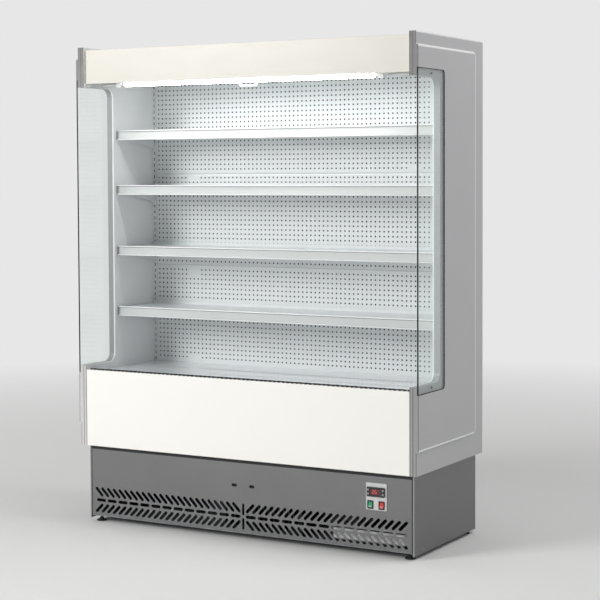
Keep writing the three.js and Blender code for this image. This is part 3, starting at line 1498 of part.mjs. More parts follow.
function evaporator(riserX) {
  const half = innerHalf - EVAPORATOR_END_GAP;
  const z0 = tubFloorTop + EVAPORATOR_RISE;
  const z1 = z0 + EVAPORATOR_HEIGHT;
  const rear = evaporatorFront + EVAPORATOR_DEPTH;
  const fins = finnedBlock(
    -half,
    half,
    z0,
    z1,
    EVAPORATOR_FIN_PITCH,
    EVAPORATOR_FIN_GAP,
    30,
    evaporatorFront,
    rear,
  );
  const ends = [-1, 1].map((side) => {
    const a = side * half;
    const b = side * (half + END_PLATE_THICKNESS);
    return block(
      Math.min(a, b) - 0.5,
      Math.max(a, b) + 0.5,
      evaporatorFront - 6,
      rear - 4,
      tubFloorTop + GAP,
      z1 + 6,
    );
  });
  const bends = [0.3, 0.7].flatMap((depth) =>
    [-1, 1].map((side) =>
      returnBend(
        side * (half + END_PLATE_THICKNESS - 1),
        evaporatorFront + EVAPORATOR_DEPTH * depth,
        z0 + EVAPORATOR_HEIGHT * 0.5,
        z0 + EVAPORATOR_HEIGHT * 0.8,
        side,
      ),
    ),
  );
  const headerZ = z0 + EVAPORATOR_HEIGHT / 2;
  const header = block(riserX - 14, riserX + 14, rear - 6, rear, z0 + 4, headerZ + 14);
  add("evaporator_coil", join(fins, header, ...ends, ...bends), finishes.aluminium);
}

// Upright plate across the tub with two fan openings, motors on struts, and the two fans.
function evaporatorFans() {
  const top = deckUnderside - GAP;
  const bottom = tubFloorTop + GAP;
  const centreZ = (top + bottom) / 2;
  const opening = EVAPORATOR_FAN_RADIUS + FAN_CLEARANCE;
  const centres = [-EVAPORATOR_FAN_SPREAD, EVAPORATOR_FAN_SPREAD];
  const half = innerHalf - FAN_PLATE_END_GAP;
  const sheet = box2d(-half, half, bottom, top);
  const openings = centres.map((x) => circle(x, centreZ, opening, 20));
  let plate = pierced("y", sheet, openings, fanPlateY, fanPlateY + SHEET);
  const fanY = fanPlateY + SHEET - EVAPORATOR_FAN_SETBACK;
  const strutY = fanPlateY + SHEET + 6;
  for (const x of centres) {
    const struts = [0, 120, 240].map((degrees) =>
      block(0, opening + 10, -6.5, 3, -4, 4).rotate([0, -degrees, 0]).translate([x, strutY, centreZ]),
    );
    const motor = rod("y", x, centreZ, MOTOR_RADIUS, strutY - 2, strutY + MOTOR_LENGTH - 8, 12);
    const hubRear = fanY + FAN_HUB_LENGTH / 2;
    const nose = rod("y", x, centreZ, MOTOR_NOSE_RADIUS, hubRear + GAP, strutY, 8);
    plate = join(plate, motor, nose, ...struts);
  }
  add("evaporator_fan_plate", plate, finishes.galvanised);
  centres.forEach((x, i) => {
    const name = i === 0 ? "evaporator_fan_left" : "evaporator_fan_right";
    add(name, bladedFan(EVAPORATOR_FAN_RADIUS).translate([x, fanY, centreZ]), finishes.blackPlastic);
  });
}

// ---------------------------------------------------------------- assembly

baseFrame();
feet();
frontGrille();
baseSideCovers();
rearGrille();
cableGland();
controlPlate();
controller();
controllerKeys();
switches();
condenser();
condenserShroud();
compressor();
condensatePan();
dischargePipe();
const riserX = suctionLine();
carcass(riserX);
frontPanel();
sidePanels();
returnGrille();
deck();
backPanels();
uprights();
shelves();
labelRails();
fascia();
lamp();
nightBlind();
airOutlet();
evaporator(riserX);
evaporatorFans();

export default fridge;
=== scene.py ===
"""Looks of the open multideck display fridge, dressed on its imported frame.

Metres, +Z up, with the open front towards -Y, as the frame has it. The CAD nodes keep their
shapes and get their finishes here. Made here are the perforated back, the slotted front grille,
the glass panes, the lamp tube, the blind's cloth, the feet and the small fittings.
"""

import json
import math

import bmesh
import bpy
from mathutils import Matrix, Vector


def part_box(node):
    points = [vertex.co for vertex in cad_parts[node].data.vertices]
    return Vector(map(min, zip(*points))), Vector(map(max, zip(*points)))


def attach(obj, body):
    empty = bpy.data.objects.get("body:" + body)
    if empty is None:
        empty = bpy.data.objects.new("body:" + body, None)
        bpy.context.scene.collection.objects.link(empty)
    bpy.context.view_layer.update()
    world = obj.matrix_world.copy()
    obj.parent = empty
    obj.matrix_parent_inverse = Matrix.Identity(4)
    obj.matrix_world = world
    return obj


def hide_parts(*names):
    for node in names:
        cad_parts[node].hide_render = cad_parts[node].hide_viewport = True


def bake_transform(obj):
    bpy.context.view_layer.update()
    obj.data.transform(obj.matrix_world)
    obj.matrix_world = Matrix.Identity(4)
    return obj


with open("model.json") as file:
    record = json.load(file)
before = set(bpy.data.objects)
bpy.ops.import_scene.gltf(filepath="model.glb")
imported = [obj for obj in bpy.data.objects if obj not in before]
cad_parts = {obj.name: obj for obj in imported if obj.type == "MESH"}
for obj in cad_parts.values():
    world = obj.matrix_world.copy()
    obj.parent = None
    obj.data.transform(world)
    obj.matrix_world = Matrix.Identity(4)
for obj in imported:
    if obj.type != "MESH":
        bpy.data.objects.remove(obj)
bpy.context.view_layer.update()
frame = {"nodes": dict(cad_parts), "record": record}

nodes = frame["nodes"]


# ---- shader maths


def operator(operation, swapped=False):
    """The method for one of Python's operators: it adds the Math node of that operation."""

    def method(self, *others):
        terms = (*others, self) if swapped else (self, *others)
        return self.tree.maths(operation, *terms)

    return method


class Value:
    """What a node gives. Python's operators on a number in a shader add the Math nodes."""

    def __init__(self, tree, socket):
        self.tree = tree
        self.socket = socket

    __add__ = __radd__ = operator("ADD")
    __sub__, __rsub__ = operator("SUBTRACT"), operator("SUBTRACT", swapped=True)
    __mul__ = __rmul__ = operator("MULTIPLY")
    __truediv__ = operator("DIVIDE")
    __pow__ = operator("POWER")
    __gt__, __lt__ = operator("GREATER_THAN"), operator("LESS_THAN")
    __abs__ = operator("ABSOLUTE")
    wave = operator("SINE")

    def within(self, low, high):
        """0 below low, 1 above high, and even between them."""
        ends = {"Value": self, "From Min": low, "From Max": high}
        return self.tree.node("ShaderNodeMapRange", {"clamp": True}, ends)


class NodeTree:
    """A node tree, and the one way in which it gets its nodes."""

    def __init__(self, tree):
        self.tree = tree

    def feed(self, socket, value):
        if isinstance(value, Value):
            self.tree.links.new(value.socket, socket)
        else:
            socket.default_value = value

    def node(self, kind, settings=None, values=None, output=0):
        """A node of that kind, with its settings and then what its sockets take."""
        made = self.tree.nodes.new(kind)
        for name, setting in (settings or {}).items():
            setattr(made, name, setting)
        for name, value in (values or {}).items():
            self.feed(made.inputs[name], value)
        return Value(self, made.outputs[output])


class Shading(NodeTree):
    """The nodes of a material or of the world."""

    def __init__(self, owner):
        owner.use_nodes = True
        super().__init__(owner.node_tree)

    def maths(self, operation, *terms):
        return self.node("ShaderNodeMath", {"operation": operation}, dict(enumerate(terms)))

    def mix(self, share, first, second):
        """One colour turning into another as share goes from 0 to 1."""
        return self.node("ShaderNodeMix", {"data_type": "RGBA"}, {0: share, 6: first, 7: second}, 2)

    def blend(self, kind, share, first, second):
        """Sends one shader, turning into another as share goes from 0 to 1, to that output."""
        out = next(n for n in self.tree.nodes if n.type == kind)
        mixed = self.node("ShaderNodeMixShader", None, {0: share, 1: first, 2: second})
        self.feed(out.inputs["Surface"], mixed)

    def looked_at(self):
        """1 for rays that show a thing, to the camera, in a mirror or through glass, else 0."""
        rays = ("Is Camera Ray", "Is Glossy Ray", "Is Transmission Ray")
        shares = [self.node("ShaderNodeLightPath", output=ray) for ray in rays]
        return (shares[0] + shares[1] + shares[2]).within(0, 1)


class Finish(Shading):
    """A material on a Principled shader. Its patterns are laid out in the row's own metres."""

    def __init__(self, name, **constants):
        self.material = bpy.data.materials.new(name)
        super().__init__(self.material)
        self.shader = next(n for n in self.tree.nodes if n.type == "BSDF_PRINCIPLED")
        self.whole = Value(self, self.shader.outputs[0])
        self.place = self.node("ShaderNodeTexCoord", output="Object")
        for name, value in constants.items():
            self.set(name.replace("_", " ").title(), value)

    def set(self, name, value):
        self.feed(self.shader.inputs[name.replace("Ior", "IOR")], value)

    def part(self, vector, name):
        return self.node("ShaderNodeSeparateXYZ", None, {"Vector": vector}, name)

    def axis(self, name):
        return self.part(self.place, name)

    def cells(self, scale, output):
        return self.node("ShaderNodeTexVoronoi", None, {"Vector": self.place, "Scale": scale}, output)

    def cloud(self, size, detail=2.0, stretch=(1, 1, 1)):
        """Soft noise from 0 to 1, with patches about size metres across, drawn out by stretch."""
        scale = tuple(1 / s for s in stretch)
        place = self.node("ShaderNodeMapping", None, {"Vector": self.place, "Scale": scale})
        return self.node(
            "ShaderNodeTexNoise", None, {"Vector": place, "Scale": 1 / size, "Detail": detail}
        )

    def relief(self, height, depth):
        """Small unevenness, depth metres from lowest to highest."""
        self.set("Normal", self.node("ShaderNodeBump", None, {"Height": height, "Distance": depth}))


def paint(red, green, blue):
    """A colour given as it looks on a screen, 0 to 255, in the shader's scale."""
    shares = (c / 255 for c in (red, green, blue))
    return (*(s / 12.92 if s <= 0.04045 else ((s + 0.055) / 1.055) ** 2.4 for s in shares), 1)


# ---- finishes

# Where the side panels' raised field ends, and the half width of the bends round it.
FIELD_LOW, FIELD_HIGH, FIELD_REAR = 0.403, 1.869, 0.212
BEND_HALF = 0.003
WINDOW_REAR = -0.103
EDGING_WIDTH = 0.027  # the front edging, from the lining out to the rim
LIP_WIDTH = 0.005  # how far the white lining laps round the window's inner edge
PANE_SEAT, PANE_REAR, PANE_LOW, PANE_HIGH = 0.7538, -0.073, 0.609, 1.787

# The slotted strip of the return air grille, from front to rear.
INTAKE_FRONT, INTAKE_REAR = -0.2685, -0.2305

# Where the base's side covers turn round its front corners, and the seam beside the grille.
COVER_FRONT, SEAM_PLACE = -0.273, 0.7209

# The carcass's duct behind the back panels, and its tub, both painted near-black as painted shade.
DUCT_FRONT, DUCT_REAR, DUCT_TOP, DUCT_HALF = 0.186, 0.28, 1.85, 0.7226
TUB_FRONT, TUB_FLOOR, TUB_TOP = -0.268, 0.32, 0.60

# Near-black painted shade for the ducts, the tub and the uprights' channels.
PAINTED_SHADE = paint(26, 27, 29)
COOL_WHITE, COOL_SHADE = paint(240, 243, 243), paint(234, 238, 239)


def as_it_is(finish, colour):
    return colour


def coated_steel(name, colour, shade, roughness, peel=0.00002, dressed=as_it_is):
    """Stove-enamelled sheet: faint clouds of shade, a fine orange peel and wiping marks. Its
    clouded colour goes through dressed, which may lay other colours over parts of it."""
    finish = Finish(name)
    clouded = finish.mix(finish.cloud(0.3, 3), colour, shade)
    finish.set("Base Color", dressed(finish, clouded))
    wiping = finish.cloud(0.05, 4, (3, 3, 1))
    finish.set("Roughness", roughness + 0.3 * roughness * (wiping - 0.5))
    finish.relief(finish.cloud(0.0014, 1), peel)
    return finish


def moulded_plastic(name, colour, shade, roughness, grain=0.0007, depth=0.00003, dressed=as_it_is):
    """Moulded plastic with a fine sparked grain, its colour dressed as coated_steel's is."""
    finish = Finish(name)
    clouded = finish.mix(finish.cloud(0.2, 4), colour, shade)
    finish.set("Base Color", dressed(finish, clouded))
    finish.set("Roughness", roughness + 0.14 * (finish.cloud(0.03, 4) - 0.5))
    finish.relief(finish.cloud(grain, 2), depth)
    return finish


def near(value, middle, half):
    """1 within half of middle, fading to 0 at twice that distance."""
    return 1 - (abs(value - middle) / half).within(1, 2)


def side_moulding():
    """Side panel: a grey formed shell with painted highlights along the bent edges of its raised
    field and rim, painted shade in the pane's recess, a ribbed metal edging along the front whose
    colour is painted light, and a white lining that laps round the window's lip."""
    finish = Finish("side_moulding")
    low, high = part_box("side_panel_right")
    across, depth, height = (finish.axis(name) for name in "XYZ")
    across = abs(across)
    shell = finish.mix(finish.cloud(0.25, 3), paint(194, 194, 196), paint(188, 188, 190))
    in_height = (height > FIELD_LOW) * (height < FIELD_HIGH)
    # Painted highlights: the raised field's bent edges and the rim's top and rear edges are painted
    # white.
    bends = near(depth, FIELD_REAR - BEND_HALF, BEND_HALF) * in_height
    for level in (FIELD_LOW + BEND_HALF, FIELD_HIGH - BEND_HALF):
        bends = bends + near(height, level, BEND_HALF) * (depth < FIELD_REAR)
    bends = bends + near(depth, high.y, BEND_HALF) + near(height, high.z, BEND_HALF)
    bends = (bends * (across > low.x + EDGING_WIDTH - 0.001)).within(0, 1)
    shell = finish.mix(bends, shell, paint(255, 255, 255))

    # Painted shade: the pane's recess is painted darker than the shell.
    recess = (across < PANE_SEAT) * (depth < PANE_REAR) * (height > PANE_LOW) * (height < PANE_HIGH)
    shell = finish.mix(recess, shell, paint(160, 161, 164))
    lip = low.x + LIP_WIDTH * (depth < WINDOW_REAR + 0.002) * (height > FIELD_LOW)
    shell = finish.mix(across < lip + 0.0004, shell, paint(248, 249, 250))

    edging = depth < low.y + 0.0006
    outer_edge = low.x + EDGING_WIDTH + (high.x - low.x - EDGING_WIDTH) * in_height
    grooves = near(across, low.x + 0.0135, 0.0009) + near(across, low.x + 0.0012, 0.0009)
    # Painted reflection: a dark line along the edging's outer edge.
    grooves = (grooves + near(across, outer_edge - 0.0008, 0.0008)).within(0, 1)
    drawn_lines = finish.cloud(0.0012, 3, (1, 1, 60))
    # Painted light: the edging is pale low down and dark up high, and paler on the left than the right.
    painted_light_left = finish.axis("X") < 0
    foot = finish.mix(painted_light_left, paint(156, 157, 156), paint(220, 219, 219))
    top = finish.mix(painted_light_left, paint(46, 45, 44), paint(42, 41, 40))
    metal = finish.mix(height.within(0.3, 1.9), foot, top)
    metal = finish.mix(drawn_lines * 0.3, metal, paint(182, 181, 180))
    strip = finish.mix(grooves * 0.8, metal, paint(52, 52, 53))
    finish.set("Base Color", finish.mix(edging, shell, strip))
    finish.set("Metallic", edging * 0.4)
    finish.set("Roughness", 0.38 + 0.12 * (finish.cloud(0.03, 4) - 0.5))
    finish.relief(finish.cloud(0.0007, 2), 0.00003)
    return finish


def insulated_body():
    """White enamelled carcass whose air ducts and tub are painted near-black as painted shade."""
    finish = Finish("insulated_body")
    across, depth, height = (finish.axis(name) for name in "XYZ")
    outside = finish.mix(finish.cloud(0.3, 3), COOL_WHITE, COOL_SHADE)
    duct_shade = finish.mix(finish.cloud(0.02, 4), PAINTED_SHADE, paint(40, 42, 44))
    behind_panels = (depth > DUCT_FRONT) * (height < DUCT_TOP)
    in_tub = (height < TUB_TOP) * (depth > TUB_FRONT)
    inside = (behind_panels + in_tub).within(0, 1) * (height > TUB_FLOOR) * (depth < DUCT_REAR)
    finish.set("Base Color", finish.mix(inside * (abs(across) < DUCT_HALF), outside, duct_shade))
    finish.set("Roughness", 0.34 + 0.06 * (finish.cloud(0.3, 3) - 0.5) + 0.3 * inside)
    finish.relief(finish.cloud(0.0014, 1), 0.00002)
    return finish


def painted_channel_shade(finish, enamel):
    """The uprights' channel is painted near-black as painted shade, so that their slots read as slots.
    """
    channel = finish.axis("Y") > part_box("upright_left")[0].y + 0.0016
    return finish.mix(channel, enamel, PAINTED_SHADE)


def painted_rail_light(finish, body):
    """Each rail gets painted highlights on its top lip and foot and painted shade in its top groove."""
    height = finish.axis("Z")
    boxes = [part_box(f"label_rail_{number}") for number in range(1, 5)]
    grooves = sum(near(height, high.z - 0.0052, 0.0009) for _, high in boxes)
    lip_highlights = sum(
        near(height, high.z - 0.0016, 0.0016) + near(height, low.z + 0.001, 0.001)
        for low, high in boxes
    )
    return finish.mix(grooves * 0.8, finish.mix(lip_highlights, body, paint(250, 251, 251)), paint(118, 122, 122))


def shaded_slot_strip(finish, enamel):
    """The grille's slotted strip: grey on top, near-black below it as painted shade in the slots."""
    depth, top = finish.axis("Y"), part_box("return_air_grille")[1].z
    strip = (depth > INTAKE_FRONT) * (depth < INTAKE_REAR)
    # Painted shade: the slots' cut edges and underside are near-black.
    dusty = finish.mix(finish.axis("Z") < top - 0.0003, paint(104, 106, 108), paint(10, 10, 11))
    return finish.mix(strip, enamel, dusty)


def shaded_tray_foot(finish, clean):
    """The condensate tray is painted dark low down, a painted shade at its foot."""
    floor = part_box("condensate_pan")[0].z
    return finish.mix(finish.axis("Z").within(floor + 0.012, floor + 0.02), paint(40, 40, 41), clean)


def metallic_paint():
    """Grey paint with metal flake, rubbed a little paler low down where feet and mops reach. The
    side covers' front corners carry a painted highlight, and a dark seam parts it from the grille."""
    finish = Finish("grey_metallic_paint", metallic=0.65)
    flake = finish.cloud(0.0009, 1)
    body = finish.mix(finish.cloud(0.25, 3), paint(128, 128, 129), paint(116, 116, 117))
    across, ahead = abs(finish.axis("X")), finish.axis("Y") < COVER_FRONT + 0.001
    # Painted highlight: the side covers' front corners are painted paler.
    body = finish.mix((across > SEAM_PLACE) * ahead, body, paint(152, 152, 152))
    body = finish.mix(near(across, SEAM_PLACE, 0.0014) * ahead, body, paint(20, 20, 20))
    scuffs = (finish.cloud(0.02, 5, (5, 1, 1)) - 0.62).within(0, 0.1)
    low_down = 1 - finish.axis("Z").within(0.03, 0.12)
    body = finish.mix(scuffs * low_down * 0.5, body, paint(146, 146, 146))
    body = finish.mix((flake - 0.6).within(0, 0.08) * 0.5, body, paint(150, 151, 153))
    finish.set("Base Color", body)
    finish.set("Roughness", 0.42 - 0.14 * flake)
    finish.relief(finish.cloud(0.0016, 1), 0.00002)
    return finish


def zinc():
    """Hot-dip zinc with its spangle."""
    finish = Finish("zinc_spangle", metallic=0.85)
    crystal = finish.part(finish.cells(110, "Color"), "X")
    finish.set("Base Color", finish.mix(crystal, paint(118, 121, 123), paint(150, 153, 155)))
    finish.set("Roughness", 0.42 + 0.2 * crystal)
    finish.relief(finish.cloud(0.002, 2), 0.00002)
    return finish


def drawn_metal(name, colour, shade, roughness, stretch=(40, 1, 1)):
    """Drawn or rolled metal: fine lines along the way it was worked."""
    finish = Finish(name, metallic=1.0)
    lines = finish.cloud(0.0012, 3, stretch)
    finish.set("Base Color", finish.mix(finish.cloud(0.04, 4), colour, shade))
    finish.set("Roughness", roughness + 0.2 * (lines - 0.5))
    finish.relief(lines, 0.00001)
    return finish


def finned(name, colour, shade, roughness):
    """Rolled fin stock, its lines running through the stack."""
    return drawn_metal(name, colour, shade, roughness, (1, 30, 1))


def glossy_cap(name, colour, shade):
    """Polished moulding of a rocker, with a soft ripple in place of the grain."""
    return moulded_plastic(name, colour, shade, 0.24, 0.002, 0.00001)


def insulation():
    """Black foam sleeve: a skin over closed cells."""
    finish = Finish("foam_sleeve")
    cells = finish.cells(900, "Distance")
    finish.set("Base Color", finish.mix(cells, paint(26, 27, 28), paint(48, 49, 50)))
    finish.set("Roughness", 0.78 + 0.15 * cells)
    finish.relief(cells, 0.0002)
    return finish


def woven_cloth():
    """Coated blind cloth: warp and weft at a millimetre, with slightly uneven yarns."""
    finish = Finish("blind_weave", sheen_weight=0.25)
    uneven = finish.cloud(0.004, 2) * 1.5
    warp = (finish.axis("X") * (2 * math.pi / 0.0011) + uneven).wave()
    weft = (finish.axis("Z") * (2 * math.pi / 0.0011) + uneven).wave()
    weave = warp * weft * 0.5 + 0.5
    finish.set("Base Color", finish.mix(weave, paint(222, 223, 221), paint(244, 244, 242)))
    finish.set("Roughness", 0.62 + 0.12 * weave)
    finish.relief(weave, 0.00012)
    return finish


def light_tube():
    """Lit phosphor: even along the tube, a little warmer and dimmer towards its ends."""
    body = (0.9, 0.9, 0.9, 1)
    finish = Finish("lit_phosphor", base_color=body, roughness=0.3, emission_strength=25.0)
    ends = abs(finish.axis("X")).within(0.5, 0.566)
    finish.set("Emission Color", finish.mix(ends, (1, 1, 1, 1), (0.86, 0.78, 0.66, 1)))
    return finish


def clear_glass():
    """Toughened pane: clear with a green cast, mirroring more where it is seen aslant."""
    finish = Finish("pane_clear", base_color=(1, 1, 1, 1), metallic=1.0)
    wiped = finish.cloud(0.12, 4, (1, 1, 3))
    finish.set("Roughness", 0.015 + 0.03 * wiped)
    aslant = finish.node("ShaderNodeLayerWeight", None, {"Blend": 0.5}, "Facing")
    mirrored = 0.04 + 0.96 * aslant**5
    dust = (wiped - 0.5).within(0, 0.3) * 0.012
    through = finish.node("ShaderNodeBsdfTransparent", None, {"Color": (0.955, 0.978, 0.968, 1)})
    finish.blend("OUTPUT_MATERIAL", mirrored + dust, through, finish.whole)
    return finish


def glass_edge():
    """Ground and polished edge of the pane: deep green, with faint grinding lines."""
    finish = Finish("pane_edge", coat_roughness=0.05, specular_ior_level=0.15)
    lines = finish.cloud(0.0006, 3, (12, 1, 1))
    finish.set("Base Color", finish.mix(lines, paint(4, 9, 8), paint(14, 24, 20)))
    finish.set("Roughness", 0.3 + 0.12 * lines)
    finish.set("Coat Weight", 0.04 + 0.04 * lines)
    return finish


def lit_figures(name, colour):
    """Segments of a lit display, glowing unevenly."""
    finish = Finish(name, roughness=0.4, emission_strength=1.0)
    glow = finish.cloud(0.002, 1)
    finish.set("Base Color", finish.mix(glow, colour, paint(90, 12, 10)))
    finish.set("Emission Color", finish.mix(glow * 0.5, colour, paint(150, 20, 16)))
    return finish


def smoked_window():
    """Dark window of the display, glossy as a screen is, with fine dust on it."""
    finish = Finish("display_window", coat_roughness=0.03)
    dust = finish.cloud(0.0008, 3)
    dusty = (dust - 0.6).within(0, 0.2)
    finish.set("Base Color", finish.mix(dusty, paint(66, 10, 20), paint(84, 30, 38)))
    finish.set("Roughness", 0.08 + 0.1 * dust)
    finish.set("Coat Weight", 0.7 + 0.2 * dust)
    return finish


white = coated_steel("white_enamel", COOL_WHITE, COOL_SHADE, 0.3)
upright_enamel = coated_steel("upright_enamel", COOL_WHITE, COOL_SHADE, 0.3, dressed=painted_channel_shade)
rail_cap_plastic = moulded_plastic("rail_cap", paint(176, 179, 179), paint(166, 169, 169), 0.4)
black_plastic = moulded_plastic("black_plastic", paint(24, 24, 25), paint(36, 36, 37), 0.42)
foot_plastic = moulded_plastic("foot_plastic", paint(30, 30, 31), paint(42, 42, 42), 0.55)
# Dark finish of the strips that stand in as painted shade along the front panel's top and foot.
rubber = moulded_plastic("painted_shade_dark", paint(46, 47, 48), paint(36, 37, 38), 0.75)
printed_white = moulded_plastic("printed_mark", paint(196, 198, 196), paint(184, 186, 184), 0.5)
base_paint = metallic_paint()
bar_metal = drawn_metal("pull_bar_metal", paint(226, 228, 228), paint(214, 216, 216), 0.34)
dark_screw = drawn_metal("dark_screw", paint(70, 71, 73), paint(48, 49, 51), 0.35, (1, 1, 1))
cloth = woven_cloth()
phosphor = light_tube()
pane = clear_glass()
pane_edge = glass_edge()
red_figures = lit_figures("red_figures", paint(255, 84, 84))
window = smoked_window()

SLOT_FINISHES = {
    "galvanised_steel": zinc(),
    "grey_base_paint": base_paint,
    "black_plastic": black_plastic,
    "pale_plate": coated_steel("pale_grey_enamel", paint(214, 214, 215), paint(206, 206, 207), 0.42),
    "grey_key": moulded_plastic("key_plastic", paint(150, 153, 154), paint(136, 139, 140), 0.5),
    "green_rocker": glossy_cap("green_cap", paint(24, 158, 108), paint(18, 140, 94)),
    "red_rocker": glossy_cap("red_cap", paint(226, 52, 40), paint(206, 40, 32)),
    "aluminium_fins": finned("fin_stock", paint(206, 209, 211), paint(186, 189, 191), 0.32),
    "black_enamel": coated_steel("black_enamel", paint(30, 31, 32), paint(40, 41, 42), 0.34),
    "copper_pipe": drawn_metal(
        "copper_tube", paint(198, 122, 84), paint(150, 82, 52), 0.3, (1, 1, 12)
    ),
    "pipe_insulation": insulation(),
    "foot_plastic": foot_plastic,
    "white_enamel": white,
    "grey_moulding": side_moulding(),
    "side_glass": pane,
    "label_rail": moulded_plastic(
        "rail_extrusion", paint(214, 218, 217), paint(206, 210, 209), 0.34, dressed=painted_rail_light
    ),
    "cream_enamel": coated_steel("cream_enamel", paint(218, 215, 204), paint(213, 210, 199), 0.32),
    "lamp_glass": phosphor,
    "blind_cloth": cloth,
    "pull_bar": bar_metal,
}
NODE_FINISHES = {
    "cabinet_carcass": insulated_body(),
    "front_panel": coated_steel("front_enamel", paint(255, 253, 248), paint(251, 250, 245), 0.3),
    "deck_tray": coated_steel(
        "deck_enamel", paint(240, 243, 245), paint(234, 237, 240), 0.03, 0.000002
    ),
    "return_air_grille": coated_steel(
        "intake_enamel", COOL_WHITE, COOL_SHADE, 0.3, dressed=shaded_slot_strip
    ),
    "upright_left": upright_enamel,
    "upright_right": upright_enamel,
    # The condenser's fins are darkened as painted shade behind the grille's slots.
    "condenser_coil": finned("shade_dark_fins", paint(62, 63, 64), paint(44, 45, 46), 0.5),
    "condensate_pan": moulded_plastic(
        "tray_plastic", paint(255, 255, 255), paint(248, 249, 249), 0.3, dressed=shaded_tray_foot
    ),
}
for part in frame["record"]["subparts"]:
    finish = NODE_FINISHES.get(part["node"], SLOT_FINISHES[part["material_slot"]])
    for material_slot in nodes[part["node"]].material_slots:
        material_slot.material = finish.material


# ---- edges


def geometry_modifier(name, build):
    """A modifier group whose mesh goes through what build adds."""
    group = bpy.data.node_groups.new(name, "GeometryNodeTree")
    for way in ("INPUT", "OUTPUT"):
        group.interface.new_socket("Geometry", in_out=way, socket_type="NodeSocketGeometry")
    steps = NodeTree(group)
    end = group.nodes.new("NodeGroupOutput")
    steps.feed(end.inputs[0], build(steps, steps.node("NodeGroupInput")))
    return group


def welded(steps, mesh):
    """Joins the import's split corners and drops the normals that went with them."""
    split = {"Geometry": mesh, "Name": "custom_normal"}
    plain = steps.node("GeometryNodeRemoveAttribute", None, split)
    return steps.node("GeometryNodeMergeByDistance", None, {"Geometry": plain, "Distance": 2e-6})


def smooth_by_angle(steps, mesh):
    """Smooth shading, except over edges that turn by more than 50 degrees."""
    smooth = steps.node("GeometryNodeSetShadeSmooth", None, {"Geometry": mesh})
    angle = steps.node("GeometryNodeInputMeshEdgeAngle", output="Unsigned Angle")
    steep = steps.node("FunctionNodeCompare", None, {"A": angle, "B": math.radians(50)}, "Result")
    creased = {"Geometry": smooth, "Selection": steep, "Shade Smooth": False}
    return steps.node("GeometryNodeSetShadeSmooth", {"domain": "EDGE"}, creased)


WELD = geometry_modifier("weld_corners", welded)
SMOOTH = geometry_modifier("smooth_by_angle", smooth_by_angle)


def soften(piece, width, segments=2):
    """Rounds a piece's sharp edges by width and shades it smoothly round them."""
    if width:
        bevel = piece.modifiers.new("edges", "BEVEL")
        bevel.width = width
        bevel.segments = segments
        bevel.limit_method = "ANGLE"
        bevel.angle_limit = math.radians(35)
        bevel.miter_outer = "MITER_ARC"
    piece.modifiers.new("smooth", "NODES").node_group = SMOOTH
    piece.modifiers.new("weights", "WEIGHTED_NORMAL").keep_sharp = True


# The nodes whose edges aren't rounded by a panel sheet's usual 0.4 mm.
EDGE_WIDTHS = {
    0.002: ("side_panel_left", "side_panel_right", "compressor"),
    0.001: ("cabinet_carcass",),
    0.0009: ("canopy_fascia", "front_panel"),
    0.0006: ("deck_tray", "base_side_left", "base_side_right", "blind_pull_bar", "controller"),
    0.0005: ("control_plate", "power_rocker", "light_rocker"),
    0: ("discharge_pipe", "suction_line", "evaporator_coil", "condenser_coil"),
}
edge_widths = {name: width for width, names in EDGE_WIDTHS.items() for name in names}
for name, node in nodes.items():
    node.modifiers.new("weld", "NODES").node_group = WELD
    soften(node, edge_widths.get(name, 0.0004))


# ---- making pieces


def put(piece, body, replaced=(), edge=0, segments=2):
    """Softens a piece, sets it on its body and hides the CAD solids that it stands for."""
    soften(piece, edge, segments)
    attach(piece, body)
    if replaced:
        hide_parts(*replaced)


def meshed(name, vertices, faces, finish):
    """A mesh object in the row frame, not yet on a body."""
    mesh = bpy.data.meshes.new(name)
    mesh.from_pydata([tuple(v) for v in vertices], [], faces)
    mesh.materials.append(finish.material)
    piece = bpy.data.objects.new(name, mesh)
    bpy.context.collection.objects.link(piece)
    return piece


def tidied(piece):
    """Merges corners that lie together and turns every face outwards."""
    shape = bmesh.new()
    shape.from_mesh(piece.data)
    bmesh.ops.remove_doubles(shape, verts=shape.verts, dist=1e-6)
    bmesh.ops.recalc_face_normals(shape, faces=shape.faces)
    shape.to_mesh(piece.data)
    shape.free()
    return piece


def joined(name, outlines, finish, capped=True):
    """Closed outlines of equal count, each joined to the next, the end ones filled if capped."""
    vertices = [vertex for outline in outlines for vertex in outline]
    count, total = len(outlines[0]), len(vertices)
    faces = [tuple(range(count)), tuple(range(total - count, total))] if capped else []
    for start in range(0, total - count, count):
        for i in range(count):
            a, b = start + i, start + (i + 1) % count
            faces.append((a, b, b + count, a + count))
    return tidied(meshed(name, vertices, faces, finish))


def turned(name, profile, centre, axis, finish, sides=48):
    """A lathe-turned form: profile is (distance along axis, radius), closed where radius is 0."""
    axis = Vector(axis)
    across = axis.orthogonal().normalized()
    up = axis.cross(across)
    centre = Vector(centre)
    angles = [2 * math.pi * i / sides for i in range(sides)]
    outs = [across * math.cos(angle) + up * math.sin(angle) for angle in angles]
    rings = [[centre + axis * along + out * radius for out in outs] for along, radius in profile]
    return joined(name, rings, finish, capped=False)


def both_ways(half):
    """A turned profile whose other half mirrors this one about its middle."""
    return [(-along, radius) for along, radius in reversed(half)] + half


def drawn(name, outline, low, high, finish, axis="X"):
    """An outline drawn out along X or Y, closed at both ends."""
    is_x = axis == "X"
    ends = [[(c, a, b) if is_x else (a, c, b) for a, b in outline] for c in (low, high)]
    return joined(name, ends, finish)


def arc(a, b, radius, start, sweep, steps):
    """Points of an arc about (a, b), in degrees."""
    angles = [math.radians(start + sweep * i / steps) for i in range(steps + 1)]
    return [(a + radius * math.cos(t), b + radius * math.sin(t)) for t in angles]


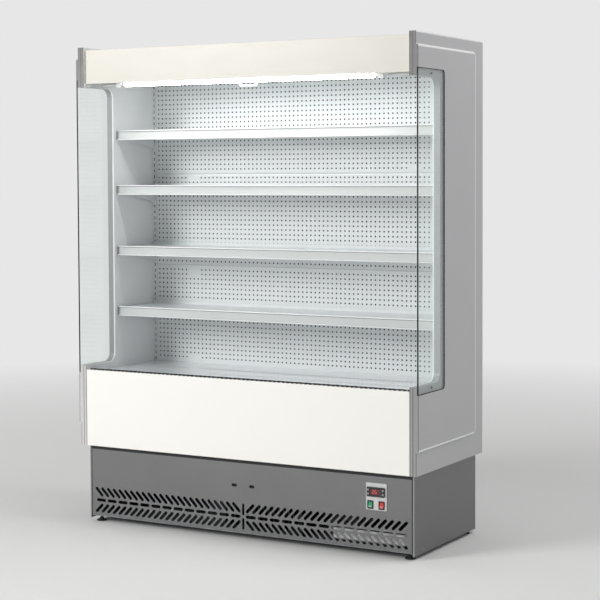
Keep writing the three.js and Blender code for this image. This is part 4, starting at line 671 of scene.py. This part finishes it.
def rounded(a0, a1, b0, b1, radius, steps=4):
    """The outline of a box with round corners."""
    return [
        *arc(a0 + radius, b0 + radius, radius, 180, 90, steps),
        *arc(a1 - radius, b0 + radius, radius, 270, 90, steps),
        *arc(a1 - radius, b1 - radius, radius, 0, 90, steps),
        *arc(a0 + radius, b1 - radius, radius, 90, 90, steps),
    ]


def slotted(x, z, run, rise, width, steps=6):
    """The outline of a round-ended slot, run and rise leading from its middle to an end's."""
    lean = math.degrees(math.atan2(rise, run))
    return [
        *arc(x + run, z + rise, width / 2, lean - 90, 180, steps),
        *arc(x - run, z - rise, width / 2, lean + 90, 180, steps),
    ]


def pressed_plate(name, outline, holes, front, thickness, finish):
    """An upright sheet facing -Y, with holes punched through it and its edges a little rounded."""
    curve = bpy.data.curves.new(name, "CURVE")
    curve.dimensions = "2D"
    curve.fill_mode = "BOTH"
    round_off = thickness * 0.15
    curve.extrude = thickness / 2 - round_off
    curve.bevel_depth = round_off
    curve.bevel_resolution = 1
    curve.offset = -round_off
    for loop in (outline, *holes):
        spline = curve.splines.new("POLY")
        spline.points.add(len(loop) - 1)
        for point, (x, z) in zip(spline.points, loop):
            point.co = (x, z, 0, 1)
        spline.use_cyclic_u = True
    drawing = bpy.data.objects.new(name + "_drawing", curve)
    bpy.context.collection.objects.link(drawing)
    bpy.context.view_layer.update()
    shape = bpy.data.meshes.new_from_object(
        drawing.evaluated_get(bpy.context.evaluated_depsgraph_get())
    )
    shape.transform(
        Matrix.Translation((0, front + thickness / 2, 0)) @ Matrix.Rotation(math.pi / 2, 4, "X")
    )
    vertices = [v.co.copy() for v in shape.vertices]
    faces = [tuple(p.vertices) for p in shape.polygons]
    bpy.data.objects.remove(drawing)
    bpy.data.meshes.remove(shape)
    return tidied(meshed(name, vertices, faces, finish))


def combined(name, pieces):
    """Several meshes of one finish as one piece, under a new name."""
    whole, *others = pieces
    shape = bmesh.new()
    for piece in pieces:
        shape.from_mesh(piece.data)
    shape.to_mesh(whole.data)
    shape.free()
    for piece in others:
        bpy.data.objects.remove(piece)
    whole.name = whole.data.name = name
    return whole


def struck(node, start, way):
    """Where a line from start first meets a CAD node, and which way the face there looks."""
    hit, place, normal, _ = nodes[node].ray_cast(Vector(start), Vector(way))
    if not hit:
        raise ValueError(f"nothing of {node} lies that way from {start}")
    return place, normal


# ---- perforated back

HOLE_PITCH = 0.0195
HOLE_RADIUS = 0.0037
HOLE_COLUMNS = 36  # either side of the middle
PANEL_SHEET = 0.0012
PANEL_FOLD = 0.0015  # the bend between a panel and what is folded back above and below it
FOLDED_BACK, FOLDED_AHEAD, SIDE_FOLD = 0.011, 0.014, 0.015
FIRST_HOLES = {"lower": 0.635, "middle": 1.042, "upper": 1.429}
# Where a panel has no holes: the x and then the z that such a patch lies between.
BLANKS = {
    "lower": [(-0.545, -0.485, 0.98, 1.012), (-0.545, -0.485, 0.62, 0.64)],
    "middle": [(-0.545, -0.485, 1.385, 1.4)],
    "upper": [(0.485, 0.545, 1.42, 1.435)],
}


def perforated_panel(which):
    """One back panel: a punched sheet whose edges are folded back, or forward at the deck."""
    node = "back_panel_" + which
    low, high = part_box(node)
    face = low.y if which != "lower" else struck(node, (0, 0, 1), (0, 1, 0))[0].y
    first = FIRST_HOLES[which]
    rows = int((high.z - 0.004 - first) / HOLE_PITCH) + 1
    bottom, top = low.z + PANEL_FOLD, high.z - PANEL_FOLD
    xs = [low.x, *(k * HOLE_PITCH for k in range(-HOLE_COLUMNS, HOLE_COLUMNS + 1)), high.x]
    zs = [bottom, *(first + (k - 0.5) * HOLE_PITCH for k in range(rows + 1)), top]
    vertices = [(x, face, z) for z in zs for x in xs]
    across = len(xs)
    faces = []
    for j in range(len(zs) - 1):
        for i in range(across - 1):
            a = j * across + i
            corners = (a, a + 1, a + across + 1, a + across)
            x, z = (xs[i] + xs[i + 1]) / 2, (zs[j] + zs[j + 1]) / 2
            edge = i in (0, across - 2) or j in (0, len(zs) - 2)
            if edge or any(x0 < x < x1 and z0 < z < z1 for x0, x1, z0, z1 in BLANKS[which]):
                faces.append(corners)
                continue
            hole = len(vertices)
            vertices += [(px, face, pz) for px, pz in arc(x, z, HOLE_RADIUS, 0, 315, 7)]
            for side in range(4):
                turn = (7 + 2 * side) % 8
                rim = [hole + turn, hole + (turn - 1) % 8, hole + (turn - 2) % 8]
                faces.append((corners[side], corners[(side + 1) % 4], *rim))
    fold_sheet(vertices, faces, xs, zs, (low, high), face, forward=which == "lower")
    panel = meshed("perforated_panel_" + which, vertices, faces, white)
    thick = panel.modifiers.new("sheet", "SOLIDIFY")
    thick.thickness = PANEL_SHEET
    thick.offset = -1
    thick.use_even_offset = True
    put(panel, "cabinet", [node])


def fold_sheet(vertices, faces, xs, zs, box, face, forward):
    """Adds the folds round a panel's four edges to its sheet."""
    low, high = box
    across = len(xs)
    back = face + SIDE_FOLD if forward else high.y
    for column, x in ((0, low.x), (across - 1, high.x)):
        start = len(vertices)
        vertices += [(x, back, z) for z in zs]
        for j in range(len(zs) - 1):
            quad = [j * across + column, start + j, start + j + 1, (j + 1) * across + column]
            faces.append(tuple(quad if column else reversed(quad)))
    for row, z, is_top in ((0, low.z, False), (len(zs) - 1, high.z, True)):
        ahead = forward and not is_top
        depths = (-FOLDED_AHEAD,) if ahead else (PANEL_FOLD, FOLDED_BACK)
        rows = [row * across + i for i in range(across)]
        for depth in depths:
            start = len(vertices)
            level = low.z + PANEL_SHEET if ahead else z
            vertices += [(x, face + depth, level) for x in xs]
            for i in range(across - 1):
                quad = [rows[i], rows[i + 1], start + i + 1, start + i]
                faces.append(tuple(quad if is_top else reversed(quad)))
            rows = list(range(start, start + across))


for which in ("lower", "middle", "upper"):
    perforated_panel(which)


# ---- front grille of the base

SLOT_WIDTH = 0.0125
SLOT_RUN = 0.026
SLOT_PITCH = 0.0284
SLOT_ROWS = (0.057, 0.0905, 0.124)
SLOT_START = 0.031
SLOT_COUNT = 24
DASH_HALF = 0.016
DASH_START = 0.034
DASH_PITCH = 0.0534
DASH_COUNT = 13
CENTRE_SLOTS = (0.0626, 0.1184)
CENTRE_HALF = 0.0175
CENTRE_WIDTH = 0.010
LATCHES = (0.0395, 0.210)
LATCH_HALF, LATCH_OPENING, LATCH_DEPTH = 0.006, 0.012, 0.009
PLATE_OPENING = (0.537, 0.614, 0.177, 0.269)
GRILLE_SHEET = 0.0015
FLANGE_INSET = 0.032
OVERHANG_SHADOW_HEIGHT = 0.017  # the dark strip under the front panel, along the grille's top: a painted shadow


def front_grille():
    """The chevron field: slanted slots mirrored about the middle, dashes between their rows. A dark
    strip along the grille's top under the front panel is a painted shadow of the panel's overhang."""
    low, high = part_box("base_front_grille")
    holes = []
    half = SLOT_RUN / 2
    for side in (-1, 1):
        for i in range(SLOT_COUNT):
            x = side * (SLOT_START + i * SLOT_PITCH)
            for z, lean in ((SLOT_ROWS[2], side), (SLOT_ROWS[0], -side)):
                holes.append(slotted(x, z, half, lean * half, SLOT_WIDTH))
        for i in range(DASH_COUNT):
            x = side * (DASH_START + i * DASH_PITCH)
            holes.append(slotted(x, SLOT_ROWS[1], DASH_HALF, 0, SLOT_WIDTH))
        holes.append(slotted(side * LATCHES[0], LATCHES[1], LATCH_HALF, 0, LATCH_OPENING))
    holes += [slotted(0, z, 0, CENTRE_HALF, CENTRE_WIDTH) for z in CENTRE_SLOTS]
    holes.append(rounded(*PLATE_OPENING, 0.001, 2))
    outline = rounded(low.x, high.x, low.z, high.z, 0.0008, 2)
    sheet = pressed_plate("grille_sheet", outline, holes, low.y, GRILLE_SHEET, base_paint)
    front, under = low.y + GRILLE_SHEET, high.z - GRILLE_SHEET
    lap = [(front, under), (high.y, under), (high.y, high.z), (front, high.z)]
    flange = drawn("flange", lap, low.x + FLANGE_INSET, high.x - FLANGE_INSET, base_paint)
    grille = combined("slotted_front_grille", [sheet, flange])
    put(grille, "cabinet", ["base_front_grille"])
    # Painted shadow: a dark strip along the grille's top, where the front panel's overhang casts shade.
    foam = rounded(low.y - 0.0012, low.y + 0.0003, high.z - OVERHANG_SHADOW_HEIGHT, high.z - 0.0004, 0.0004, 2)
    seal = drawn("grille_overhang_shadow", foam, low.x + 0.001, high.x - 0.001, rubber)
    put(seal, "cabinet")


front_grille()


# ---- glass panes

PANE_CORNER = 0.014
FRONT_CORNER = 0.003
SEAL_GAP = 0.0008


def rear_corners(low, high, grow=0):
    """The outline round a pane's two rear corners, from the lower one up."""
    y, radius = high.y - PANE_CORNER, PANE_CORNER + grow
    return [
        *arc(y, low.z + PANE_CORNER, radius, 270, 90, 8),
        *arc(y, high.z - PANE_CORNER, radius, 0, 90, 8),
    ]


def side_pane(side):
    """A flat pane with rounded rear corners and polished edges."""
    node = "side_glass_" + side
    low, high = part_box(node)
    y = low.y + FRONT_CORNER
    outline = [
        *arc(y, low.z + FRONT_CORNER, FRONT_CORNER, 180, 90, 3),
        *rear_corners(low, high),
        *arc(y, high.z - FRONT_CORNER, FRONT_CORNER, 90, 90, 3),
    ]
    glass = drawn("pane_" + side, outline, low.x, high.x, pane)
    glass.data.materials.append(pane_edge.material)
    for face in glass.data.polygons:
        face.material_index = 0 if abs(face.normal.x) > 0.9 else 1
    bevel = glass.modifiers.new("polish", "BEVEL")
    bevel.width = 0.0007
    bevel.segments = 2
    bevel.limit_method = "ANGLE"
    bevel.material = 1
    put(glass, "cabinet", [node])


def pane_seal(side):
    """The dark rubber line between a pane's edge and its recess."""
    low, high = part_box("side_glass_" + side)
    outer, inward = (high.x, -1) if side == "right" else (low.x, 1)
    y = low.y + 0.001
    loops = [
        [(y, low.z - grow), *rear_corners(low, high, grow), (y, high.z + grow)]
        for grow in (0, SEAL_GAP)
    ]
    face, depth = outer + inward * 0.0006, outer + inward * 0.0055
    outlines = [
        [(face, *glass), (face, *recess), (depth, *recess), (depth, *glass)]
        for glass, recess in zip(*loops)
    ]
    put(joined("pane_seal_" + side, outlines, foot_plastic), "cabinet")


for side in ("left", "right"):
    side_pane(side)
    pane_seal(side)


# ---- lamp

CAP_LENGTH = 0.016


def lamp_tube():
    """The lit glass tube and the metal cap at each of its ends."""
    low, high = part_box("lamp_tube")
    centre = (0, (low.y + high.y) / 2, (low.z + high.z) / 2)
    radius, end = (high.z - low.z) / 2, high.x
    glass_end, neck = end - CAP_LENGTH, end - CAP_LENGTH - 0.004
    half = [(neck, radius - 0.0002), (glass_end, radius - 0.0004), (glass_end, 0)]
    glass = turned("lamp_glass", both_ways(half), centre, (1, 0, 0), phosphor)
    put(glass, "cabinet", ["lamp_tube"])
    profile = [
        (end - 0.0165, 0), (end - 0.0165, radius - 0.0006), (end - 0.0155, radius),
        (end - 0.002, radius), (end - 0.0005, radius - 0.0012), (end - 0.0005, 0.0028),
        (end, 0.0026), (end, 0),
    ]
    caps = [turned("cap", profile, centre, (side, 0, 0), bar_metal) for side in (-1, 1)]
    put(combined("lamp_caps", caps), "cabinet")


lamp_tube()


# ---- night blind

ROLL_CORE = 0.014
CLOTH_PITCH = 0.0007
STEPS_A_TURN = 40
PIN_RADIUS = 0.005


def hanging_cloth():
    """The cloth from the roller to the pull bar."""
    low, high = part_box("blind_curtain")
    face = (low.y + high.y) / 2
    rows, columns = 40, 12
    vertices = []
    for j in range(rows + 1):
        share = j / rows
        for i in range(columns + 1):
            x = low.x + (high.x - low.x) * i / columns
            ripple = 0.0002 * math.sin(9 * x + 1) * math.sin(math.pi * share)
            vertices.append((x, face + ripple, low.z + (high.z - low.z) * share))
    across = columns + 1
    corners = [j * across + i for j in range(rows) for i in range(columns)]
    faces = [(a, a + 1, a + across + 1, a + across) for a in corners]
    curtain = meshed("blind_cloth_hanging", vertices, faces, cloth)
    soften(curtain, 0)
    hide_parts("blind_curtain")
    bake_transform(curtain)


def wound_cloth():
    """The rest of the cloth in its spiral, and the tube that it is wound on."""
    low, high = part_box("blind_curtain")
    roller_low, roller_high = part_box("blind_roller")
    axis = Vector((0, (roller_low.y + roller_high.y) / 2, (roller_low.z + roller_high.z) / 2))
    outer = (roller_high.z - roller_low.z) / 2
    turns = (outer - ROLL_CORE) / CLOTH_PITCH
    steps = int(turns * STEPS_A_TURN)
    vertices, faces, length = [], [], 0.0
    for i in range(steps + 1):
        angle = math.pi - 2 * math.pi * turns * (1 - i / steps)
        radius = ROLL_CORE + (outer - ROLL_CORE) * i / steps
        y, z = axis.y + radius * math.cos(angle), axis.z + radius * math.sin(angle)
        vertices += [(low.x, y, z), (high.x, y, z)]
        if i:
            length += (Vector(vertices[-1]) - Vector(vertices[-3])).length
            faces.append((2 * i - 2, 2 * i - 1, 2 * i + 1, 2 * i))
    roll = meshed("blind_cloth_wound", vertices, faces, cloth)
    put(roll, "blind_roller", ["blind_roller"])

    end, shoulder = roller_high.x, high.x + 0.002
    half = [
        (high.x + 0.001, ROLL_CORE - 0.0005), (shoulder, ROLL_CORE - 0.001),
        (shoulder, PIN_RADIUS), (end - 0.0004, PIN_RADIUS), (end, 0.0046), (end, 0),
    ]
    tube = turned("blind_tube", both_ways(half), axis, (1, 0, 0), bar_metal, 32)
    put(tube, "blind_roller", ["blind_roller"])


hanging_cloth()
wound_cloth()


# ---- feet

THREAD_START, THREAD_PITCH = 0.0145, 0.00125


def foot(node):
    """A levelling foot: a pad, a nut and a threaded stem."""
    low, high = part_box(node)
    centre = ((low.x + high.x) / 2, (low.y + high.y) / 2, 0)
    radius = (high.x - low.x) / 2
    profile = [
        (0, 0), (0, radius - 0.002), (0.0006, radius - 0.0006), (0.002, radius), (0.0042, radius),
        (0.0052, radius - 0.0008), (0.0068, radius - 0.005), (0.008, 0.0098), (0.0084, 0.0085),
        (0.0136, 0.0085), (0.014, 0.008), (0.014, 0.005),
    ]
    for i in range(int((high.z - THREAD_START - 0.001) / THREAD_PITCH)):
        z = THREAD_START + i * THREAD_PITCH
        profile += [(z, 0.0043), (z + THREAD_PITCH / 2, 0.005)]
    profile += [(high.z - 0.0004, 0.0046), (high.z, 0.004), (high.z, 0)]
    made = turned(node + "_pad", profile, centre, (0, 0, 1), foot_plastic)
    put(made, node, [node])


for corner in ("front_left", "front_right", "rear_left", "rear_right"):
    foot("foot_" + corner)


# ---- controls

# The segments of each figure, and their middles as shares of a figure's width and height.
SEGMENTS = {"2": "abdeg", "5": "acdfg"}
SEGMENT_PLACES = {
    "a": (0, 0.5), "b": (0.5, 0.25), "c": (0.5, -0.25), "d": (0, -0.5),
    "e": (-0.5, -0.25), "f": (-0.5, 0.25), "g": (0, 0),
}
FIGURE_WIDTH, FIGURE_HEIGHT, FIGURE_PITCH, STROKE = 0.0068, 0.0125, 0.0105, 0.0013
FIGURE_START = -0.0098  # the first figure's middle, from the window's
DISPLAY_LEVEL = 0.2405
# Half the window's width and height, and its corners' radius.
DISPLAY_HALF, DISPLAY_RISE, DISPLAY_CORNER = 0.0234, 0.0111, 0.0014
DOTS = ((-0.0045, -FIGURE_HEIGHT / 2), (0.0115, 0.0055))  # from the window's middle


def display():
    """The window's dark face and its lit figures, a number only."""
    low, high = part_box("controller")
    start = ((low.x + high.x) / 2, low.y - 0.05, DISPLAY_LEVEL)
    (x0, y, z0), _ = struck("controller", start, (0, 1, 0))
    sides = (x0 - DISPLAY_HALF, x0 + DISPLAY_HALF, z0 - DISPLAY_RISE, z0 + DISPLAY_RISE)
    outline = rounded(*sides, DISPLAY_CORNER)
    face = drawn("display_window", outline, y - 0.0003, y + 0.0004, window, "Y")
    put(face, "cabinet", edge=0.0001, segments=1)
    strokes = []
    for number, figure in enumerate("25"):
        middle = x0 + FIGURE_START + number * FIGURE_PITCH
        for segment in SEGMENTS[figure]:
            x_share, z_share = SEGMENT_PLACES[segment]
            x, z = middle + x_share * FIGURE_WIDTH, z0 + z_share * FIGURE_HEIGHT
            is_flat = segment in "adg"
            reach = (FIGURE_WIDTH if is_flat else FIGURE_HEIGHT / 2) / 2 - 0.0004
            half, shoulder = STROKE / 2, reach - STROKE / 2
            ends = [(-reach, 0), (-shoulder, -half), (shoulder, -half)]
            ends += [(-a, -b) for a, b in ends]
            outline = [(x + a, z + b) if is_flat else (x + b, z + a) for a, b in ends]
            strokes.append(drawn("stroke", outline, y - 0.00055, y - 0.0002, red_figures, "Y"))
    profile = [(0, 0), (0, 0.0007), (0.0003, 0.0007), (0.0003, 0)]
    for x, z in DOTS:
        place = (x0 + x, y - 0.00025, z0 + z)
        strokes.append(turned("dot", profile, place, (0, -1, 0), red_figures, 12))
    put(combined("display_figures", strokes), "cabinet")


def mark_on(node, x, z, ring):
    """The raised on or off mark of a rocker, laid on its sloping face."""
    low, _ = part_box(node)
    place, normal = struck(node, (x, low.y - 0.05, z), (0, 1, 0))
    if ring:
        inner, outer = 0.0009, 0.0014
        profile = [(-0.0002, inner), (-0.0002, outer), (0.0001, outer), (0.0001, inner)]
        profile.append(profile[0])
        mark = turned(node + "_off_mark", profile, place, normal, printed_white, 24)
    else:
        outline = rounded(-0.0003, 0.0003, -0.0015, 0.0015, 0.00025, 2)
        mark = drawn(node + "_on_mark", outline, -0.0001, 0.0002, printed_white, "Y")
        turn = Vector((0, -1, 0)).rotation_difference(normal).to_matrix().to_4x4()
        mark.data.transform(Matrix.Translation(place) @ turn)
    put(mark, node)


display()
for node in ("power_rocker", "light_rocker"):
    low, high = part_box(node)
    x, z = (low.x + high.x) / 2, (low.z + high.z) / 2
    rise = (high.z - low.z) / 4
    mark_on(node, x, z + rise, ring=False)
    mark_on(node, x, z - rise, ring=True)


# ---- small fittings

SCREW_RADIUS = 0.004
SCREW_INSET, SCREW_BACK, SCREW_SUNK = 0.0165, 0.117, 0.0027  # from a pane's ends, front and face
# The scalloped strip that stands in as painted shade for the return air grille's slots.
SCALLOP_SHADE_FRONT, SCALLOP = 0.0140, 0.0112  # behind the front panel's face, and how far that waves
SCALLOP_SHADE_RISE, CREST = 0.0024, 0.0016  # above the front panel's top, and how far that waves


def glass_screws():
    """Heads sunk into each pane above and below the window, which clamp it to its recess."""
    profile = [(-0.0004, 0), (-0.0004, SCREW_RADIUS)]
    profile += [
        (along * SCREW_RADIUS, out * SCREW_RADIUS)
        for along, out in ((0.25, 1), (0.5, 0.78), (0.62, 0.45), (0.2, 0.4), (0.2, 0))
    ]
    for side, outward in (("left", -1), ("right", 1)):
        low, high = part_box("side_glass_" + side)
        x = outward * (max(abs(low.x), abs(high.x)) - SCREW_SUNK)
        for end, z in (("low", low.z + SCREW_INSET), ("high", high.z - SCREW_INSET)):
            place = (x, low.y + SCREW_BACK, z)
            name = f"pane_screw_{side}_{end}"
            head = turned(name, profile, place, (outward, 0, 0), dark_screw, 20)
            put(head, "cabinet")


def rail_caps():
    """Moulded caps that close both ends of each label rail."""
    for i in range(1, 5):
        low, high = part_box(f"label_rail_{i}")
        outline = rounded(low.y - 0.0003, high.y, low.z - 0.0004, high.z + 0.0004, 0.0018)
        pair = []
        for end, inward in ((low.x, 1), (high.x, -1)):
            a, b = sorted((end - inward * 0.0028, end - inward * 0.0002))
            pair.append(drawn("cap", outline, a, b, rail_cap_plastic))
        put(combined(f"rail_caps_{i}", pair), "cabinet", edge=0.0004)


def painted_shade_scallops():
    """A scalloped dark strip on the front panel's top lip: painted shade for the return grille's slots.
    """
    low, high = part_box("front_panel")
    reach, steps = high.x - 0.006, 900
    rear, seat = high.y - 0.0006, high.z - 0.0002
    outlines = []
    for i in range(steps + 1):
        x = reach * (2 * i / steps - 1)
        wave = math.sin(2 * math.pi * x / HOLE_PITCH)
        front, crest = low.y + SCALLOP_SHADE_FRONT + SCALLOP * wave, high.z + SCALLOP_SHADE_RISE + CREST * wave
        outlines.append([(x, front, seat), (x, rear, seat), (x, rear, crest), (x, front, crest)])
    put(joined("painted_shade_scallops", outlines, rubber), "cabinet")


def grille_latches():
    """Quarter-turn latches behind the grille's two openings, their black plates partly painted shade.
    """
    front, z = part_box("base_front_grille")[0].y + LATCH_DEPTH, LATCHES[1]
    profile = [(0, 0), (0, 0.003), (0.0008, 0.003), (0.0012, 0.0025), (0.0012, 0)]
    for side, sign in (("left", -1), ("right", 1)):
        x = sign * LATCHES[0]
        outline = rounded(x - 0.02, x + 0.02, z - 0.013, z + 0.013, 0.002)
        plate = drawn("plate", outline, front, front + 0.0014, foot_plastic, "Y")
        boss = turned("boss", profile, (x, front + 0.0003, z), (0, -1, 0), foot_plastic, 24)
        latch = combined("grille_latch_" + side, [plate, boss])
        put(latch, "cabinet", edge=0.0002, segments=1)


glass_screws()
rail_caps()
painted_shade_scallops()
grille_latches()


# ---- floor, light and camera

BACKDROP = 0.80
FADE_START, FADE_END = 1.6, 6.0
FLOOR_SIZE = 60.0


def floor():
    """A wide pale floor that keeps the shadow near the fridge and fades into the backdrop."""
    half = FLOOR_SIZE / 2
    corners = [(-half, -half, 0), (half, -half, 0), (half, half, 0), (-half, half, 0)]
    ground = Finish("pale_floor", roughness=0.85)
    clouded = ground.mix(ground.cloud(1.5, 3), paint(243, 243, 242), paint(240, 240, 239))
    ground.set("Base Color", clouded)
    ground.relief(ground.cloud(0.004, 2), 0.0001)
    reach = ground.node("ShaderNodeVectorMath", {"operation": "LENGTH"}, {0: ground.place}, "Value")
    glow = ground.node("ShaderNodeEmission", None, {"Color": (BACKDROP, BACKDROP, BACKDROP, 1)})
    fade = reach.within(FADE_START, FADE_END) * ground.looked_at()
    ground.blend("OUTPUT_MATERIAL", fade, ground.whole, glow)
    meshed("studio_floor", corners, [(0, 1, 2, 3)], ground)


def surroundings():
    """A pale backdrop for what the camera, metal and glass see, and a plain soft light."""
    world = bpy.data.worlds.new("studio")
    bpy.context.scene.world = world
    sky = Shading(world)
    light = sky.node("ShaderNodeBackground", None, {"Color": (1, 1, 1, 1), "Strength": 0.38})
    shown = sky.node("ShaderNodeBackground", None, {"Color": (BACKDROP, BACKDROP, BACKDROP, 1)})
    sky.blend("OUTPUT_WORLD", sky.looked_at(), light, shown)


def softbox(name, place, aim, size, power):
    """A square lamp that looks from its place to its aim."""
    lamp = bpy.data.lights.new(name, "AREA")
    lamp.shape = "SQUARE"
    lamp.size = size
    lamp.energy = power
    light = bpy.data.objects.new(name, lamp)
    light.location = place
    light.rotation_mode = "QUATERNION"
    light.rotation_quaternion = (Vector(aim) - Vector(place)).to_track_quat("-Z", "Y")
    bpy.context.collection.objects.link(light)


def camera():
    """The photograph's viewpoint, found from the cabinet's own corners."""
    lens = bpy.data.cameras.new("camera")
    lens.lens = 98.115
    lens.sensor_width = 36
    lens.shift_y = -0.0833
    lens.clip_end = 100
    view = bpy.data.objects.new("camera", lens)
    bpy.context.collection.objects.link(view)
    yaw, pitch, roll = 0.51833, 0.04698, -0.00422
    level = Matrix.Rotation(yaw, 4, "Z") @ Matrix.Rotation(math.pi / 2 - pitch, 4, "X")
    place = Matrix.Translation((3.2840, -5.5814, 1.4104))
    view.matrix_world = place @ level @ Matrix.Rotation(roll, 4, "Z")
    bpy.context.scene.camera = view


floor()
surroundings()
softbox("key_light", (-3.3, -5.6, 3.1), (0, -0.2, 0.8), size=2.4, power=240)
softbox("fill_light", (2.6, 0.6, 4.2), (0.75, 0, 1.6), size=2.0, power=44)
camera()
bpy.context.scene.view_settings.view_transform = "Standard"
